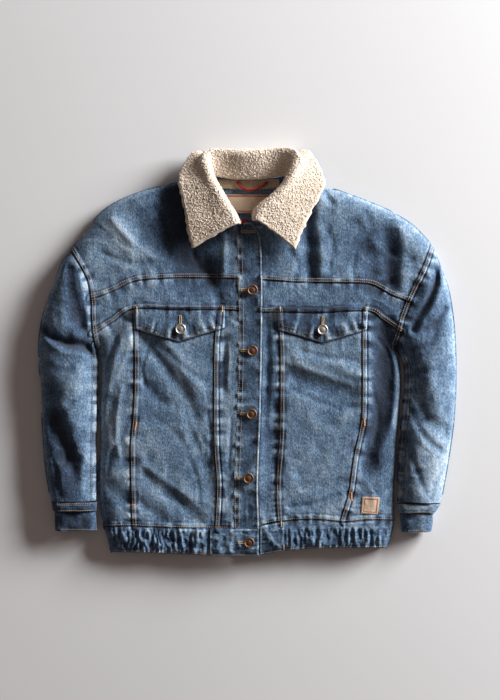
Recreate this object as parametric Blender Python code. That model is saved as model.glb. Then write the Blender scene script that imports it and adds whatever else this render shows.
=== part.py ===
"""Denim trucker jacket with a sherpa collar, laid out on its back.

Metres, +Z up.  The jacket lies on the XY plane with its front up and its neck
towards +Y; the origin is under the middle of its plan outline.  Every piece of
cloth is a closed wall.  Plan positions are written in millimetres and every
wall takes its height from one shared shape, cloth_top() or cloth_under().
"L" is the side at -X and "R" the side at +X.
"""
import math

import bmesh
import bpy
import numpy as np

MM = 0.001

# Driving sizes, in millimetres
WALL = 2.0              # denim with its turnings
SEAM_GAP = 0.3          # clear distance between neighbouring pieces
SEAM_TOP = 8.7          # height of the front wall's edge along side and shoulder
SEAM_UNDER = 8.2        # height of the back wall's edge there
BODY_HEIGHT = 22.0      # outer face of the front above the floor
SLEEVE_HEIGHT = 32.0    # outer face of a sleeve above the floor
BODY_ROUND = 30.0       # how far in the front rounds up from its outline
SLEEVE_ROUND = 40.0
UNDER_ROUND = 13.0      # how far in the underside curls up at its outline
RIM_FLAT = 1.0          # width of the band where the wall's edge is cut square
HEM_ROUND = 20.0        # rounding of the hem band towards its lower edge
LAP_LIFT = 2.6          # placket above the front that it buttons over
PLAN_SHIFT = (-1.8, 0.4)   # puts the middle of the plan outline over the origin

# Plan outlines and seams, (x, y) in millimetres
SHOULDER = {
    "L": [(-289, 167), (-262, 200), (-243, 224), (-218, 243), (-177, 261), (-133, 272), (-94, 281),
          (-69, 290)],
    "R": [(307, 168), (289, 190), (269, 209), (244, 225), (219, 238), (162, 260), (127, 269), (96, 279),
          (69, 290)],
}
ARMHOLE = {             # from the shoulder tip down to the underarm
    "L": [(-289, 167), (-271, 137), (-260, 114), (-255, 86), (-254, 51), (-252, 28), (-248, 8)],
    "R": [(307, 168), (294, 134), (281, 107), (268, 80), (258, 54), (252, 31), (244, 8)],
}
SIDE = {                # from the underarm down to the hem seam
    "L": [(-248, 8), (-239, -23), (-240, -91), (-240, -150), (-241, -210), (-240, -250), (-236, -287)],
    "R": [(244, 8), (250, -23), (252, -55), (250, -90), (246, -140), (243, -190), (241, -235), (241, -277)],
}
HEM_SIDE = {
    "L": [(-236, -287), (-229, -310), (-223, -330)],
    "R": [(241, -277), (237, -300), (229, -323)],
}
SLEEVE_OUTER = {        # from the shoulder tip down to the cuff seam
    "L": [(-289, 167), (-305, 144), (-318, 109), (-334, 63), (-341, 20), (-341, -20), (-338, -70),
          (-335, -137),
          (-330, -195), (-322, -246)],
    "R": [(307, 168), (318, 140), (330, 105), (338, 59), (342, 10), (343, -46), (340, -107), (335, -150),
          (327, -200), (318, -249)],
}
SLEEVE_INNER = {        # from the underarm down to the cuff seam
    "L": [(-248, 8), (-245, -23), (-246, -91), (-247, -140), (-247, -190), (-247, -246)],
    "R": [(244, 8), (256, -20), (259, -50), (257, -85), (253, -130), (249, -180), (248, -221), (247, -246)],
}
YOKE_SEAM = {           # from the armhole to the placket
    "L": [(-255, 86), (-236, 92), (-214, 101), (-192, 112), (-168, 117), (-114, 120), (-66, 120),
          (-15, 119)],
    "R": [(268, 80), (237, 92), (210, 107), (190, 111), (147, 112), (82, 113), (54, 115), (25, 117)],
}
POCKET_SEAM = {         # three stretches: over the side, pocket and inner panels
    "L": {"side": [(-252, 28), (-219, 49), (-186, 69)], "pocket": [(-186, 69), (-114, 68), (-40, 68)],
          "inner": [(-40, 68), (-14, 67)]},
    "R": {"side": [(252, 31), (223, 51), (196, 66)], "pocket": [(196, 66), (120, 63), (51, 64)],
          "inner": [(51, 64), (25, 64)]},
}
HEM_SEAM = {
    "L": {"side": [(-236, -287), (-188, -286)], "pocket": [(-188, -286), (-120, -289), (-45, -290)],
          "inner": [(-45, -290), (-21, -290)]},
    "R": {"side": [(241, -277), (195, -276), (160, -279)], "pocket": [(160, -279), (106, -275), (50, -279)],
          "inner": [(50, -279), (20, -286)]},
}
OUTER_SEAM = {          # between side panel and pocket panel, top to bottom
    "L": [(-186, 69), (-184, 2), (-185, -86), (-190, -148), (-190, -206), (-188, -286)],
    "R": [(196, 66), (196, 2), (196, -81), (194, -119), (182, -175), (174, -231), (160, -279)],
}
INNER_SEAM = {          # between pocket panel and inner front
    "L": [(-40, 68), (-46, 10), (-47, -79), (-46, -160), (-42, -220), (-45, -290)],
    "R": [(51, 64), (54, 2), (54, -82), (53, -144), (48, -216), (50, -279)],
}
PLACKET_LEFT = [(-17, 206), (-16, 157), (-15, 119), (-14, 67), (-14, 0), (-16, -80), (-19, -158),
                (-21, -231), (-21, -290)]
PLACKET_RIGHT = [(11, 206), (21, 188), (24, 155), (25, 117), (25, 64), (24, -13), (22, -110), (19, -180),
                 (18, -231), (20, -290)]
NECK_FRONT = {          # from the shoulder down to the placket, under the collar
    "L": [(-69, 290), (-62, 268), (-50, 243), (-34, 219), (-17, 206)],
    "R": [(69, 290), (66, 268), (56, 248), (38, 224), (20, 204)],
}
BACK_NECK = [(-69, 290), (-40, 285), (0, 283), (40, 285), (69, 290)]
HEM_BOTTOM_Y = {"L": [(-223, -330), (-173, -331), (-112, -333), (-60, -335), (20, -336)],
                "R": [(229, -323), (195, -323), (107, -324), (60, -328), (20, -335)]}

# Largest folds: depth and half width in millimetres, then the line they follow
TROUGHS = [
    # depth, width, line
    (5.0, 9.0, [(-168, 21), (-148, -8), (-125, -31), (-109, -58), (-87, -109)]),
    (3.5, 7.0, [(-167, -54), (-140, -81), (-119, -87)]),
    (3.5, 9.0, [(-83, -142), (-61, -206), (-59, -241)]),
    (4.5, 8.0, [(-168, -201), (-139, -229), (-104, -252), (-81, -275)]),
    (3.0, 7.0, [(-175, -247), (-150, -267), (-127, -282)]),
    (4.5, 7.0, [(-36, 18), (-37, -65)]),
    (4.0, 6.0, [(-219, -86), (-228, -112)]),
    (3.5, 9.0, [(-228, -221), (-201, -241)]),
    (4.5, 9.0, [(63, -30), (97, -46), (144, -59), (168, -71)]),
    (3.5, 8.0, [(187, -119), (139, -153), (86, -200)]),
    (3.0, 8.0, [(177, -211), (124, -223)]),
    (4.0, 6.0, [(35, -28), (36, -66)]),
    (4.0, 6.0, [(47, -94), (47, -216)]),
    (4.0, 12.0, [(243, 162), (182, 148)]),
    (3.5, 10.0, [(104, 173), (104, 127)]),
    (3.5, 10.0, [(165, 173), (150, 140)]),
    (3.5, 12.0, [(-200, 236), (-189, 224), (-160, 190)]),
    (4.0, 10.0, [(-305, 101), (-292, 18)]),
    (4.5, 9.0, [(-333, 26), (-259, 10)]),
    (6.0, 11.0, [(-309, -130), (-272, -213)]),
    (6.0, 9.0, [(314, 142), (299, 84), (267, 53)]),
    (6.0, 10.0, [(272, -10), (279, -83), (295, -114), (327, -132)]),
]
RIDGES = [
    # height, width, line
    (4.0, 7.0, [(-196, 40), (-208, 8), (-223, -35), (-236, -64)]),
    (4.5, 8.0, [(238, -6), (246, -40), (244, -102), (229, -139), (215, -168)]),
    (3.0, 10.0, [(-140, 30), (-112, -20), (-80, -60)]),
    (3.0, 10.0, [(80, -10), (130, -22), (180, -40)]),
    (3.0, 12.0, [(-290, -60), (-300, -120)]),
    (3.0, 12.0, [(300, -30), (310, -90)]),
]

DENIM = ((0.16, 0.28, 0.42, 1.0), 0.85, 0.0)
DENIM_DARK = ((0.10, 0.20, 0.33, 1.0), 0.85, 0.0)
SHERPA = ((0.72, 0.64, 0.53, 1.0), 0.95, 0.0)
TAPE = ((0.55, 0.45, 0.33, 1.0), 0.9, 0.0)
LABEL = ((0.70, 0.58, 0.44, 1.0), 0.8, 0.0)
RED = ((0.55, 0.05, 0.06, 1.0), 0.7, 0.0)
COPPER = ((0.36, 0.24, 0.16, 1.0), 0.4, 1.0)
SILVER = ((0.62, 0.61, 0.58, 1.0), 0.35, 1.0)


# ---------------------------------------------------------------- curves
def smooth_line(points, per_span=8):
    """Points of a Catmull-Rom curve through the given ones."""
    pts = np.asarray(points, float)
    if len(pts) < 3:
        return pts
    ends = np.vstack([2 * pts[0] - pts[1], pts, 2 * pts[-1] - pts[-2]])
    out = []
    for i in range(1, len(ends) - 2):
        p0, p1, p2, p3 = ends[i - 1:i + 3]
        for k in range(per_span):
            t = k / per_span
            out.append(0.5 * (2 * p1 + (p2 - p0) * t + (2 * p0 - 5 * p1 + 4 * p2 - p3) * t ** 2
                              + (3 * p1 - p0 - 3 * p2 + p3) * t ** 3))
    out.append(pts[-1])
    return np.array(out)


def run_of(line):
    """Distance from a polyline's start at each of its points."""
    return np.concatenate([[0], np.cumsum(np.linalg.norm(np.diff(line, axis=0), axis=1))])


def fractions_of(line):
    run = run_of(line)
    return run / run[-1]


def polyline_points(line, fractions):
    """Points of a polyline at fractions of its length."""
    line = np.asarray(line, float)
    share = fractions_of(line)
    return np.stack([np.interp(fractions, share, line[:, k]) for k in range(line.shape[1])], axis=1)


def along(points, fractions):
    """Points of the smooth curve at fractions of its length."""
    return polyline_points(smooth_line(points), fractions)


def even(count):
    return np.linspace(0, 1, count + 1)


def crowded(count, at_start=True, at_end=True):
    """Fractions from 0 to 1 that lie closer together at a rounded edge."""
    t = even(count)
    if at_start and at_end:
        return 0.5 - 0.5 * np.cos(math.pi * t)
    curve = 1 - np.cos(0.5 * math.pi * t)
    blend = 0.65 * curve + 0.35 * t
    return blend if at_start else 1 - blend[::-1]


def distance(points, line):
    """Shortest plan distance from each point to a polyline."""
    best = np.full(len(points), 1e9)
    for a, b in zip(line[:-1], line[1:]):
        run = b - a
        t = np.clip(((points - a) @ run) / max(run @ run, 1e-9), 0, 1)
        best = np.minimum(best, np.linalg.norm(points - a - t[:, None] * run, axis=1))
    return best


def rounding(reach):
    """Quarter round from 0 at the outline to 1 at the full height."""
    t = np.clip(reach, 0, 1)
    return np.sqrt(np.maximum(0, 1 - (1 - t) ** 2))


def eased(t):
    t = np.clip(t, 0, 1)
    return t * t * (3 - 2 * t)


# ---------------------------------------------------------------- shared shape
BODY_EDGES = [smooth_line(table[side], 4) for table in (SHOULDER, SIDE, HEM_SIDE) for side in "LR"]
SLEEVE_EDGES = [smooth_line(table[side], 4) for table in (SLEEVE_OUTER, SLEEVE_INNER) for side in "LR"]
ARMHOLE_LINES = {side: smooth_line(ARMHOLE[side], 4) for side in "LR"}
HEM_LINE = np.vstack([smooth_line(HEM_BOTTOM_Y["L"], 4), smooth_line(HEM_BOTTOM_Y["R"], 4)[::-1]])
TROUGH_LINES = [(depth, width, smooth_line(line, 4)) for depth, width, line in TROUGHS]
RIDGE_LINES = [(height, width, smooth_line(line, 4)) for height, width, line in RIDGES]


def edge_distance(points, edges):
    best = np.full(len(points), 1e9)
    for line in edges:
        best = np.minimum(best, distance(points, line))
    return np.maximum(0, best - SEAM_GAP / 2)


def folds(points):
    """Sum of the soft troughs and ridges at plan points."""
    lift = np.zeros(len(points))
    for depth, width, line in TROUGH_LINES:
        lift -= depth * np.exp(-(distance(points, line) / width) ** 2)
    for height, width, line in RIDGE_LINES:
        lift += height * np.exp(-(distance(points, line) / width) ** 2)
    return lift


def cloth_top(points):
    """Height of the outer face of front and sleeves over plan points."""
    points = np.asarray(points, float)
    rim = edge_distance(points, BODY_EDGES + SLEEVE_EDGES)
    outward = np.full(len(points), -1e9)
    for side, sign in (("L", -1), ("R", 1)):
        line = ARMHOLE_LINES[side]
        border = np.interp(points[:, 1], line[::-1, 1], line[::-1, 0])
        outward = np.maximum(outward, sign * (points[:, 0] - border))
    sleeve = eased((outward + 12) / 45)
    height = BODY_HEIGHT + (SLEEVE_HEIGHT - BODY_HEIGHT) * sleeve
    reach = BODY_ROUND + (SLEEVE_ROUND - BODY_ROUND) * sleeve
    full = rounding(rim / reach)
    hem = np.where(outward > 2, 1.0, 0.5 + 0.5 * rounding(distance(points, HEM_LINE) / HEM_ROUND))
    crown = (height - SEAM_TOP) * full * hem
    calm = eased((rim - 3) / 12) * eased((crown - 3) / 6)
    return SEAM_TOP + crown + folds(points) * calm


def cloth_under(points):
    """Height of the outer, lower face of back and under sleeves."""
    rim = edge_distance(np.asarray(points, float), BODY_EDGES + SLEEVE_EDGES)
    return SEAM_UNDER * (1 - rounding(rim / UNDER_ROUND))


def normals(points, height, step=0.35):
    """Upward normals of a height shape over plan points."""
    points = np.asarray(points, float)
    dx = (height(points + (step, 0)) - height(points - (step, 0))) / (2 * step)
    dy = (height(points + (0, step)) - height(points - (0, step))) / (2 * step)
    out = np.stack([-dx, -dy, np.ones(len(points))], axis=1)
    return out / np.linalg.norm(out, axis=1)[:, None]


# ---------------------------------------------------------------- walls
def patch(bottom, top, left, right):
    """Plan grid between four edges that share their corners, rows by columns."""
    # Fractions of the edges themselves keep crowded rows and columns crowded
    u = ((fractions_of(bottom) + fractions_of(top)) / 2)[None, :, None]
    v = ((fractions_of(left) + fractions_of(right)) / 2)[:, None, None]
    ruled_v = (1 - v) * bottom[None] + v * top[None]
    ruled_u = (1 - u) * left[:, None] + u * right[:, None]
    corners = ((1 - u) * (1 - v) * bottom[0] + u * (1 - v) * bottom[-1]
               + (1 - u) * v * top[0] + u * v * top[-1])
    return ruled_v + ruled_u - corners


def drawn_in(grid, gap=SEAM_GAP / 2):
    """The same grid with its border moved inwards by half a seam gap."""
    out = grid.copy()
    pairs = [((0, slice(None)), (1, slice(None))), ((-1, slice(None)), (-2, slice(None))),
             ((slice(None), 0), (slice(None), 1)), ((slice(None), -1), (slice(None), -2))]
    for border, inner in pairs:
        way = grid[inner] - grid[border]
        out[border] += gap * way / np.maximum(np.linalg.norm(way, axis=-1, keepdims=True), 1e-6)
    return out


def wall_mesh(name, outer, inner, look):
    """Closed wall between two grids of points in millimetres."""
    rows, cols = outer.shape[:2]
    verts = [tuple(p) for p in outer.reshape(-1, 3)] + [tuple(p) for p in inner.reshape(-1, 3)]
    base = rows * cols
    at = lambda i, j: i * cols + j
    faces = []
    for i in range(rows - 1):
        for j in range(cols - 1):
            a, b, c, d = at(i, j), at(i, j + 1), at(i + 1, j + 1), at(i + 1, j)
            faces.append((a, b, c, d))
            faces.append((base + d, base + c, base + b, base + a))
    border = [at(0, j) for j in range(cols)] + [at(i, cols - 1) for i in range(1, rows)]
    border += [at(rows - 1, j) for j in range(cols - 2, -1, -1)] + [at(i, 0) for i in range(rows - 2, 0, -1)]
    for k, a in enumerate(border):
        b = border[(k + 1) % len(border)]
        faces.append((b, a, base + a, base + b))
    return add_mesh(name, verts, faces, look)


def add_mesh(name, verts, faces, look):
    """Object from millimetre points, faces turned outwards."""
    shift = np.array([PLAN_SHIFT[0], PLAN_SHIFT[1], 0.0])
    mesh = bpy.data.meshes.new(name)
    mesh.from_pydata([tuple((np.asarray(p) + shift) * MM) for p in verts], [], faces)
    form = bmesh.new()
    form.from_mesh(mesh)
    bmesh.ops.recalc_face_normals(form, faces=form.faces)
    bmesh.ops.triangulate(form, faces=form.faces)
    form.to_mesh(mesh)
    form.free()
    mesh.shade_smooth()
    mesh.set_sharp_from_angle(angle=math.radians(50))
    mesh.materials.append(material(look))
    obj = bpy.data.objects.new(name, mesh)
    bpy.context.scene.collection.objects.link(obj)
    return obj


def material(look):
    colour, roughness, metallic = look
    name = "look_%02x%02x%02x" % tuple(int(255 * c) for c in colour[:3])
    found = bpy.data.materials.get(name)
    if found:
        return found
    made = bpy.data.materials.new(name)
    made.use_nodes = True
    shader = made.node_tree.nodes["Principled BSDF"]
    shader.inputs["Base Color"].default_value = colour
    shader.inputs["Roughness"].default_value = roughness
    shader.inputs["Metallic"].default_value = metallic
    return made


def cloth(name, grid, look, height=cloth_top, lift=0.0, wall=WALL, waves=None):
    """Wall over a plan grid; lift is how far its inner face stands off the shape.

    With lift None the outer face is on the shape and the wall goes inwards.
    """
    plan = drawn_in(grid)
    flat = plan.reshape(-1, 2)
    up = normals(flat, height)
    # At the outline the wall is cut square to the floor
    up[:, 2] *= np.clip(edge_distance(flat, BODY_EDGES + SLEEVE_EDGES) / RIM_FLAT, 0, 1)
    up /= np.linalg.norm(up, axis=1)[:, None]
    face = np.column_stack([flat, height(flat)])
    if height is cloth_under:
        outer, inner = face, face + up * wall
    elif lift is None:
        outer, inner = face, face - up * wall
    else:
        offset = np.broadcast_to(lift, len(flat))[:, None]
        outer, inner = face + up * (offset + wall), face + up * offset
    if waves is not None:
        raised = waves(plan).reshape(-1, 1) * np.array([[0, 0, 1.0]])
        outer, inner = outer + raised, inner + raised
    shape = plan.shape[:2] + (3,)
    return wall_mesh(name, outer.reshape(shape), inner.reshape(shape), look)


# ---------------------------------------------------------------- body
SIDE_COLS, POCKET_COLS, INNER_COLS = 5, 8, 2
SIDE_ROWS, UNDERARM_ROWS, STRIP_ROWS, YOKE_ROWS = 17, 2, 3, 7
FINE = even(200)           # fractions for reading a line at a given height
# The left front ends at the placket's seam; the right one runs on under it as its button stand
FRONT_EDGE = {"L": PLACKET_LEFT, "R": [(-2, 204), (-1, 119), (-1, 64), (-3, -80), (-6, -180), (-7, -288)]}


def armhole_split(side):
    """Armhole points for the three blocks of the front, from underarm to tip."""
    up = along(ARMHOLE[side][::-1], FINE)
    pocket_y = POCKET_SEAM[side]["side"][0][1]
    yoke_y = YOKE_SEAM[side][0][1]
    at = lambda y: float(np.interp(y, up[:, 1], FINE))
    low, high = at(pocket_y), at(yoke_y)
    pick = lambda a, b, fractions: along(ARMHOLE[side][::-1], a + (b - a) * fractions)
    return (pick(0, low, even(UNDERARM_ROWS)), pick(low, high, even(STRIP_ROWS)),
            pick(high, 1, crowded(YOKE_ROWS, at_start=False)))


def between(line, side_points):
    """Evenly spread points of a seam, as many as another edge has."""
    return along(line, even(len(side_points) - 1))


def front_blocks(side):
    """Plan grids of one side's front pieces, keyed by piece."""
    underarm, strip_edge, yoke_edge = armhole_split(side)
    side_edge = np.vstack([along(SIDE[side][::-1], even(SIDE_ROWS)), underarm[1:]])
    outer = between(OUTER_SEAM[side][::-1], side_edge)
    inner = between(INNER_SEAM[side][::-1], side_edge)
    pocket_seam, hem_seam = POCKET_SEAM[side], HEM_SEAM[side]
    front_line = along(FRONT_EDGE[side], FINE)
    cut = lambda y: np.array([np.interp(y, front_line[::-1, 1], front_line[::-1, 0]), y])
    yoke_y, pocket_y, hem_y = YOKE_SEAM[side][-1][1], pocket_seam["inner"][-1][1], hem_seam["inner"][-1][1]
    join = lambda line, end: np.vstack([np.asarray(line, float)[:-1], end])
    low_mid = join(pocket_seam["inner"], cut(pocket_y))
    low_hem = join(hem_seam["inner"], cut(hem_y))
    yoke_low = join(YOKE_SEAM[side], cut(yoke_y))
    centre = lambda low, high, fractions: np.stack([cut(y) for y in low + (high - low) * fractions])

    blocks = {}
    side_cols = crowded(SIDE_COLS, at_end=False)
    blocks["side_panel"] = patch(along(hem_seam["side"], side_cols), along(pocket_seam["side"], side_cols),
                                 side_edge, outer)
    blocks["pocket_panel"] = patch(along(hem_seam["pocket"], even(POCKET_COLS)),
                                   along(pocket_seam["pocket"], even(POCKET_COLS)), outer, inner)
    blocks["inner_front"] = patch(along(low_hem, even(INNER_COLS)), along(low_mid, even(INNER_COLS)), inner,
                                  centre(hem_y, pocket_y, even(len(inner) - 1)))
    strip_low = np.vstack([along(pocket_seam["side"], side_cols),
                           along(pocket_seam["pocket"], even(POCKET_COLS))[1:],
                           along(low_mid, even(INNER_COLS))[1:]])
    columns = len(strip_low) - 1
    yoke_cols = along(yoke_low, even(columns))
    blocks["chest_strip"] = patch(strip_low, yoke_cols, strip_edge,
                                  centre(pocket_y, yoke_y, even(STRIP_ROWS)))
    neck_line = np.vstack([smooth_line(NECK_FRONT[side])[:-1], cut(NECK_FRONT[side][-1][1])])
    down_front = np.vstack([neck_line, cut(yoke_y)])
    blocks["yoke"] = patch(yoke_cols, along(SHOULDER[side], crowded(columns, at_end=False)), yoke_edge,
                           polyline_points(down_front[::-1], crowded(YOKE_ROWS, at_start=False)))
    return blocks


def body_front():
    for side in "LR":
        for piece, grid in front_blocks(side).items():
            cloth(f"{piece}_{side}", grid, DENIM, lift=None)


# Placket: lifted over the right front, level with the left one at its own seam
PLACKET_LAP_FROM = 10.0    # the lift is complete this far from the placket's seam


def placket_lift(plan):
    seam = smooth_line(PLACKET_LEFT)
    across = plan[..., 0] - np.interp(plan[..., 1], seam[::-1, 1], seam[::-1, 0])
    return LAP_LIFT * eased(across / PLACKET_LAP_FROM)


PLACKET_ROWS, PLACKET_COLS = 30, 4
PLACKET_TOP = [(-17, 206), (0, 210), (11, 206)]
PLACKET_FOOT = [(-21, -289.8), (20, -289.8)]


def placket():
    rows, cols = even(PLACKET_ROWS), even(PLACKET_COLS)
    grid = patch(along(PLACKET_FOOT, cols), along(PLACKET_TOP, cols),
                 along(PLACKET_LEFT[::-1], rows), along(PLACKET_RIGHT[::-1], rows))
    cloth("placket", grid, DENIM, lift=None, waves=placket_lift)


BACK_LOW = [(-236, -287), (-120, -288), (0, -288), (120, -282), (241, -277)]
BACK_SIDE_ROWS = 9
# Columns crowd where the wall curls up, at the sides and beside the neck
LOW_SHARE = [0, 0.005, 0.014, 0.03, 0.12, 0.27, 0.35, 0.5]
SHOULDER_SHARE = [0, 0.02, 0.06, 0.15, 0.45, 1]
NECK_SHARE = [0.13, 0.5, 0.87]


def back_panel():
    edge = {}
    for side in "LR":
        low, middle, high = armhole_split(side)
        side_edge = along(SIDE[side][::-1], even(BACK_SIDE_ROWS))
        edge[side] = np.vstack([side_edge, low[1:], middle[1:], high[1:]])
    low = along(BACK_LOW, LOW_SHARE + [1 - share for share in LOW_SHARE[-2::-1]])
    top = np.vstack([along(SHOULDER["L"], SHOULDER_SHARE), along(BACK_NECK, NECK_SHARE),
                     along(SHOULDER["R"], SHOULDER_SHARE)[::-1]])
    cloth("back_panel", patch(low, top, edge["L"], edge["R"]), DENIM_DARK, height=cloth_under)


# ---------------------------------------------------------------- hem band
RUCHES = 13                # gathers on each side of the front hem band
RUCHE_DEPTH = 2.6
GATHER_FADE = 19.0         # the ruches are at full depth this far from the side
GATHER_SPAN = {"L": (-231, -62), "R": (62, 236)}
BAND_FOOT, BAND_WIDTH = -331, 44


def gathers(side):
    low, high = GATHER_SPAN[side]

    def waves(plan):
        x, y = plan[..., 0], plan[..., 1]
        t = (x - low) / (high - low)
        # Uneven spacing: the phase runs ahead and falls behind along the band
        phase = 2 * math.pi * (RUCHES * t + 0.22 * np.sin(2 * math.pi * 2.3 * t) + 0.12 * np.sin(17 * t))
        across = (y - BAND_FOOT) / BAND_WIDTH
        lean = 0.9 * np.sin(2 * math.pi * 1.7 * t) * (across - 0.5)
        depth = RUCHE_DEPTH * (0.75 + 0.25 * np.sin(9.5 * t + 1)) * eased((across - 0.02) / 0.3)
        fade = eased(t / 0.03) * eased((1 - t) / 0.04) * eased((1.04 - across) / 0.25)
        fade *= eased(edge_distance(plan.reshape(-1, 2), BODY_EDGES).reshape(x.shape) / GATHER_FADE)
        return depth * fade * np.sin(phase + 2 * math.pi * lean)
    return waves


HEM_TABS = {
    # seam ends, lower ends, columns; the left one carries on under the placket's foot
    "L": ((-60, -290), (19.5, -291), (-60, -335), (19.5, -336), 7),
    "R": ((22, -286), (61, -279), (22, -335), (60, -328), 4),
}
HEM_UPPER = {
    "L": [(-235, -287.6), (-188, -286.6), (-120, -289.6), (-60, -290)],
    "R": [(61, -279), (106, -275.6), (160, -279.6), (195, -276.6), (241, -277.6)],
}
HEM_LOWER = {
    "L": [(-223, -330), (-173, -331), (-112, -333), (-60, -335)],
    "R": [(60, -328), (107, -324), (195, -323), (229, -323)],
}
HEM_BACK_LOW = [(-223, -330), (-112, -333), (0, -335.5), (107, -324), (229, -323)]
HEM_BACK_SEAM = [(-236, -287.4), (-120, -289), (0, -289), (120, -283), (241, -277.4)]
TAB_ROWS, GATHER_ROWS, HEM_BACK_ROWS, HEM_BACK_COLS = 4, 3, 4, 10
GATHER_COLS = 4 * RUCHES


def hem_band():
    for side, (seam_a, seam_b, low_a, low_b, cols) in HEM_TABS.items():
        grid = patch(along([low_a, low_b], even(cols)), along([seam_a, seam_b], even(cols)),
                     along([low_a, seam_a], even(TAB_ROWS)), along([low_b, seam_b], even(TAB_ROWS)))
        cloth(f"hem_tab_{side}", grid, DENIM, lift=None)
    rows = even(GATHER_ROWS)
    for side in "LR":
        seam, low = along(HEM_UPPER[side], even(GATHER_COLS)), along(HEM_LOWER[side], even(GATHER_COLS))
        if side == "L":
            left, right = along(HEM_SIDE["L"][::-1], rows), along([low[-1], seam[-1]], rows)
            left[0], left[-1] = low[0], seam[0]
        else:
            left, right = along([low[0], seam[0]], rows), along(HEM_SIDE["R"][::-1], rows)
            right[0], right[-1] = low[-1], seam[-1]
        cloth(f"hem_gathered_{side}", patch(low, seam, left, right), DENIM, lift=None, waves=gathers(side))
    left, right = (along(HEM_SIDE[side][::-1], even(HEM_BACK_ROWS)) for side in "LR")
    low, seam = along(HEM_BACK_LOW, crowded(HEM_BACK_COLS)), along(HEM_BACK_SEAM, crowded(HEM_BACK_COLS))
    left[-1], right[-1] = seam[0], seam[-1]
    cloth("hem_back", patch(low, seam, left, right), DENIM_DARK, height=cloth_under)


# ---------------------------------------------------------------- sleeves
SLEEVE_COLS, ARM_ROWS = 8, 12
CAP_THINNING = 0.045       # wall over width where the cap runs out
ARM_SHARE = 0.62           # of the outer edge, below the underarm
CAP_END = 0.988            # of the outer edge, where the cap meets the shoulder tip


def sleeve_grid(side):
    """Plan grid of a sleeve, cuff seam first; columns from outer to inner edge."""
    underarm, strip_edge, yoke_edge = armhole_split(side)
    armhole = np.vstack([underarm, strip_edge[1:], yoke_edge[1:]])
    inner = np.vstack([along(SLEEVE_INNER[side][::-1], even(ARM_ROWS)), armhole[1:]])
    outer_line = along(SLEEVE_OUTER[side][::-1], CAP_END * even(300))
    # Rows of the cap stay as far from the shoulder tip on both of its edges
    cap_share = ARM_SHARE + (1 - ARM_SHARE) * fractions_of(armhole)[1:]
    share = np.concatenate([even(ARM_ROWS) * ARM_SHARE, cap_share])
    outer = polyline_points(outer_line, share)
    low = along([outer[0], inner[0]], crowded(SLEEVE_COLS))
    top = along([outer[-1], inner[-1]], crowded(SLEEVE_COLS))
    return patch(low, top, outer, inner)


def sleeves():
    for side in "LR":
        grid = sleeve_grid(side)
        # The cap ends in a point, where the wall thins with the width left
        width = np.linalg.norm(grid[:, -1] - grid[:, 0], axis=1)
        wall = np.minimum(WALL, CAP_THINNING * width)
        wall = np.repeat(wall, grid.shape[1])[:, None]
        cloth(f"sleeve_top_{side}", grid, DENIM, lift=None, wall=wall)
        cloth(f"sleeve_under_{side}", grid, DENIM_DARK, height=cloth_under, wall=wall)


CUFFS = [
    # name, side, upper y, lower y, left x, right x at the top, left x, right x at the bottom, floor, height
    ("cuff", "L", -247.4, -263, -321, -246, -318, -247, 0.0, 27.0),
    ("cuff", "R", -250.4, -265, 246, 318, 249, 308, 0.0, 27.0),
    ("inner_cuff", "L", -263.4, -294, -316, -248, -315, -246, 1.5, 22.0),
    ("inner_cuff", "R", -265.4, -296.5, 251, 307, 254, 303, 1.5, 22.0),
]
CUFF_SIDES = 20
CUFF_RINGS = 3
CUFF_BOX = 3.0             # exponent of the flattened tube's outline
CUFF_SWELL = 1.2


def tube_ring(x_left, x_right, y, z_low, z_high, inset=0.0):
    """Ring of a flattened tube: a superellipse in the XZ plane."""
    half, rise = (x_right - x_left) / 2 - inset, (z_high - z_low) / 2 - inset
    ring = []
    for k in range(CUFF_SIDES):
        angle = 2 * math.pi * k / CUFF_SIDES
        c, s = math.cos(angle), math.sin(angle)
        ring.append(((x_left + x_right) / 2 + half * math.copysign(abs(c) ** (2 / CUFF_BOX), c), y,
                     (z_low + z_high) / 2 + rise * math.copysign(abs(s) ** (2 / CUFF_BOX), s)))
    return ring


def cuffs():
    for name, side, y_top, y_low, xa, xb, xc, xd, floor, height in CUFFS:
        outer, inner = [], []
        for k in range(CUFF_RINGS + 1):
            t = k / CUFF_RINGS
            x0, x1, y = xa + (xc - xa) * t, xb + (xd - xb) * t, y_top + (y_low - y_top) * t
            swell = CUFF_SWELL * math.sin(math.pi * t)
            outer.append(tube_ring(x0, x1, y, floor, height + swell))
            inner.append(tube_ring(x0, x1, y, floor, height + swell, WALL))
        rings = outer + inner[::-1]
        count = len(rings)
        verts = [p for ring in rings for p in ring]
        faces = []
        for i in range(count):
            for j in range(CUFF_SIDES):
                here, after, n = i * CUFF_SIDES, (i + 1) % count * CUFF_SIDES, (j + 1) % CUFF_SIDES
                faces.append((here + j, here + n, after + n, after + j))
        add_mesh(f"{name}_{side}", verts, faces, DENIM)


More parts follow.
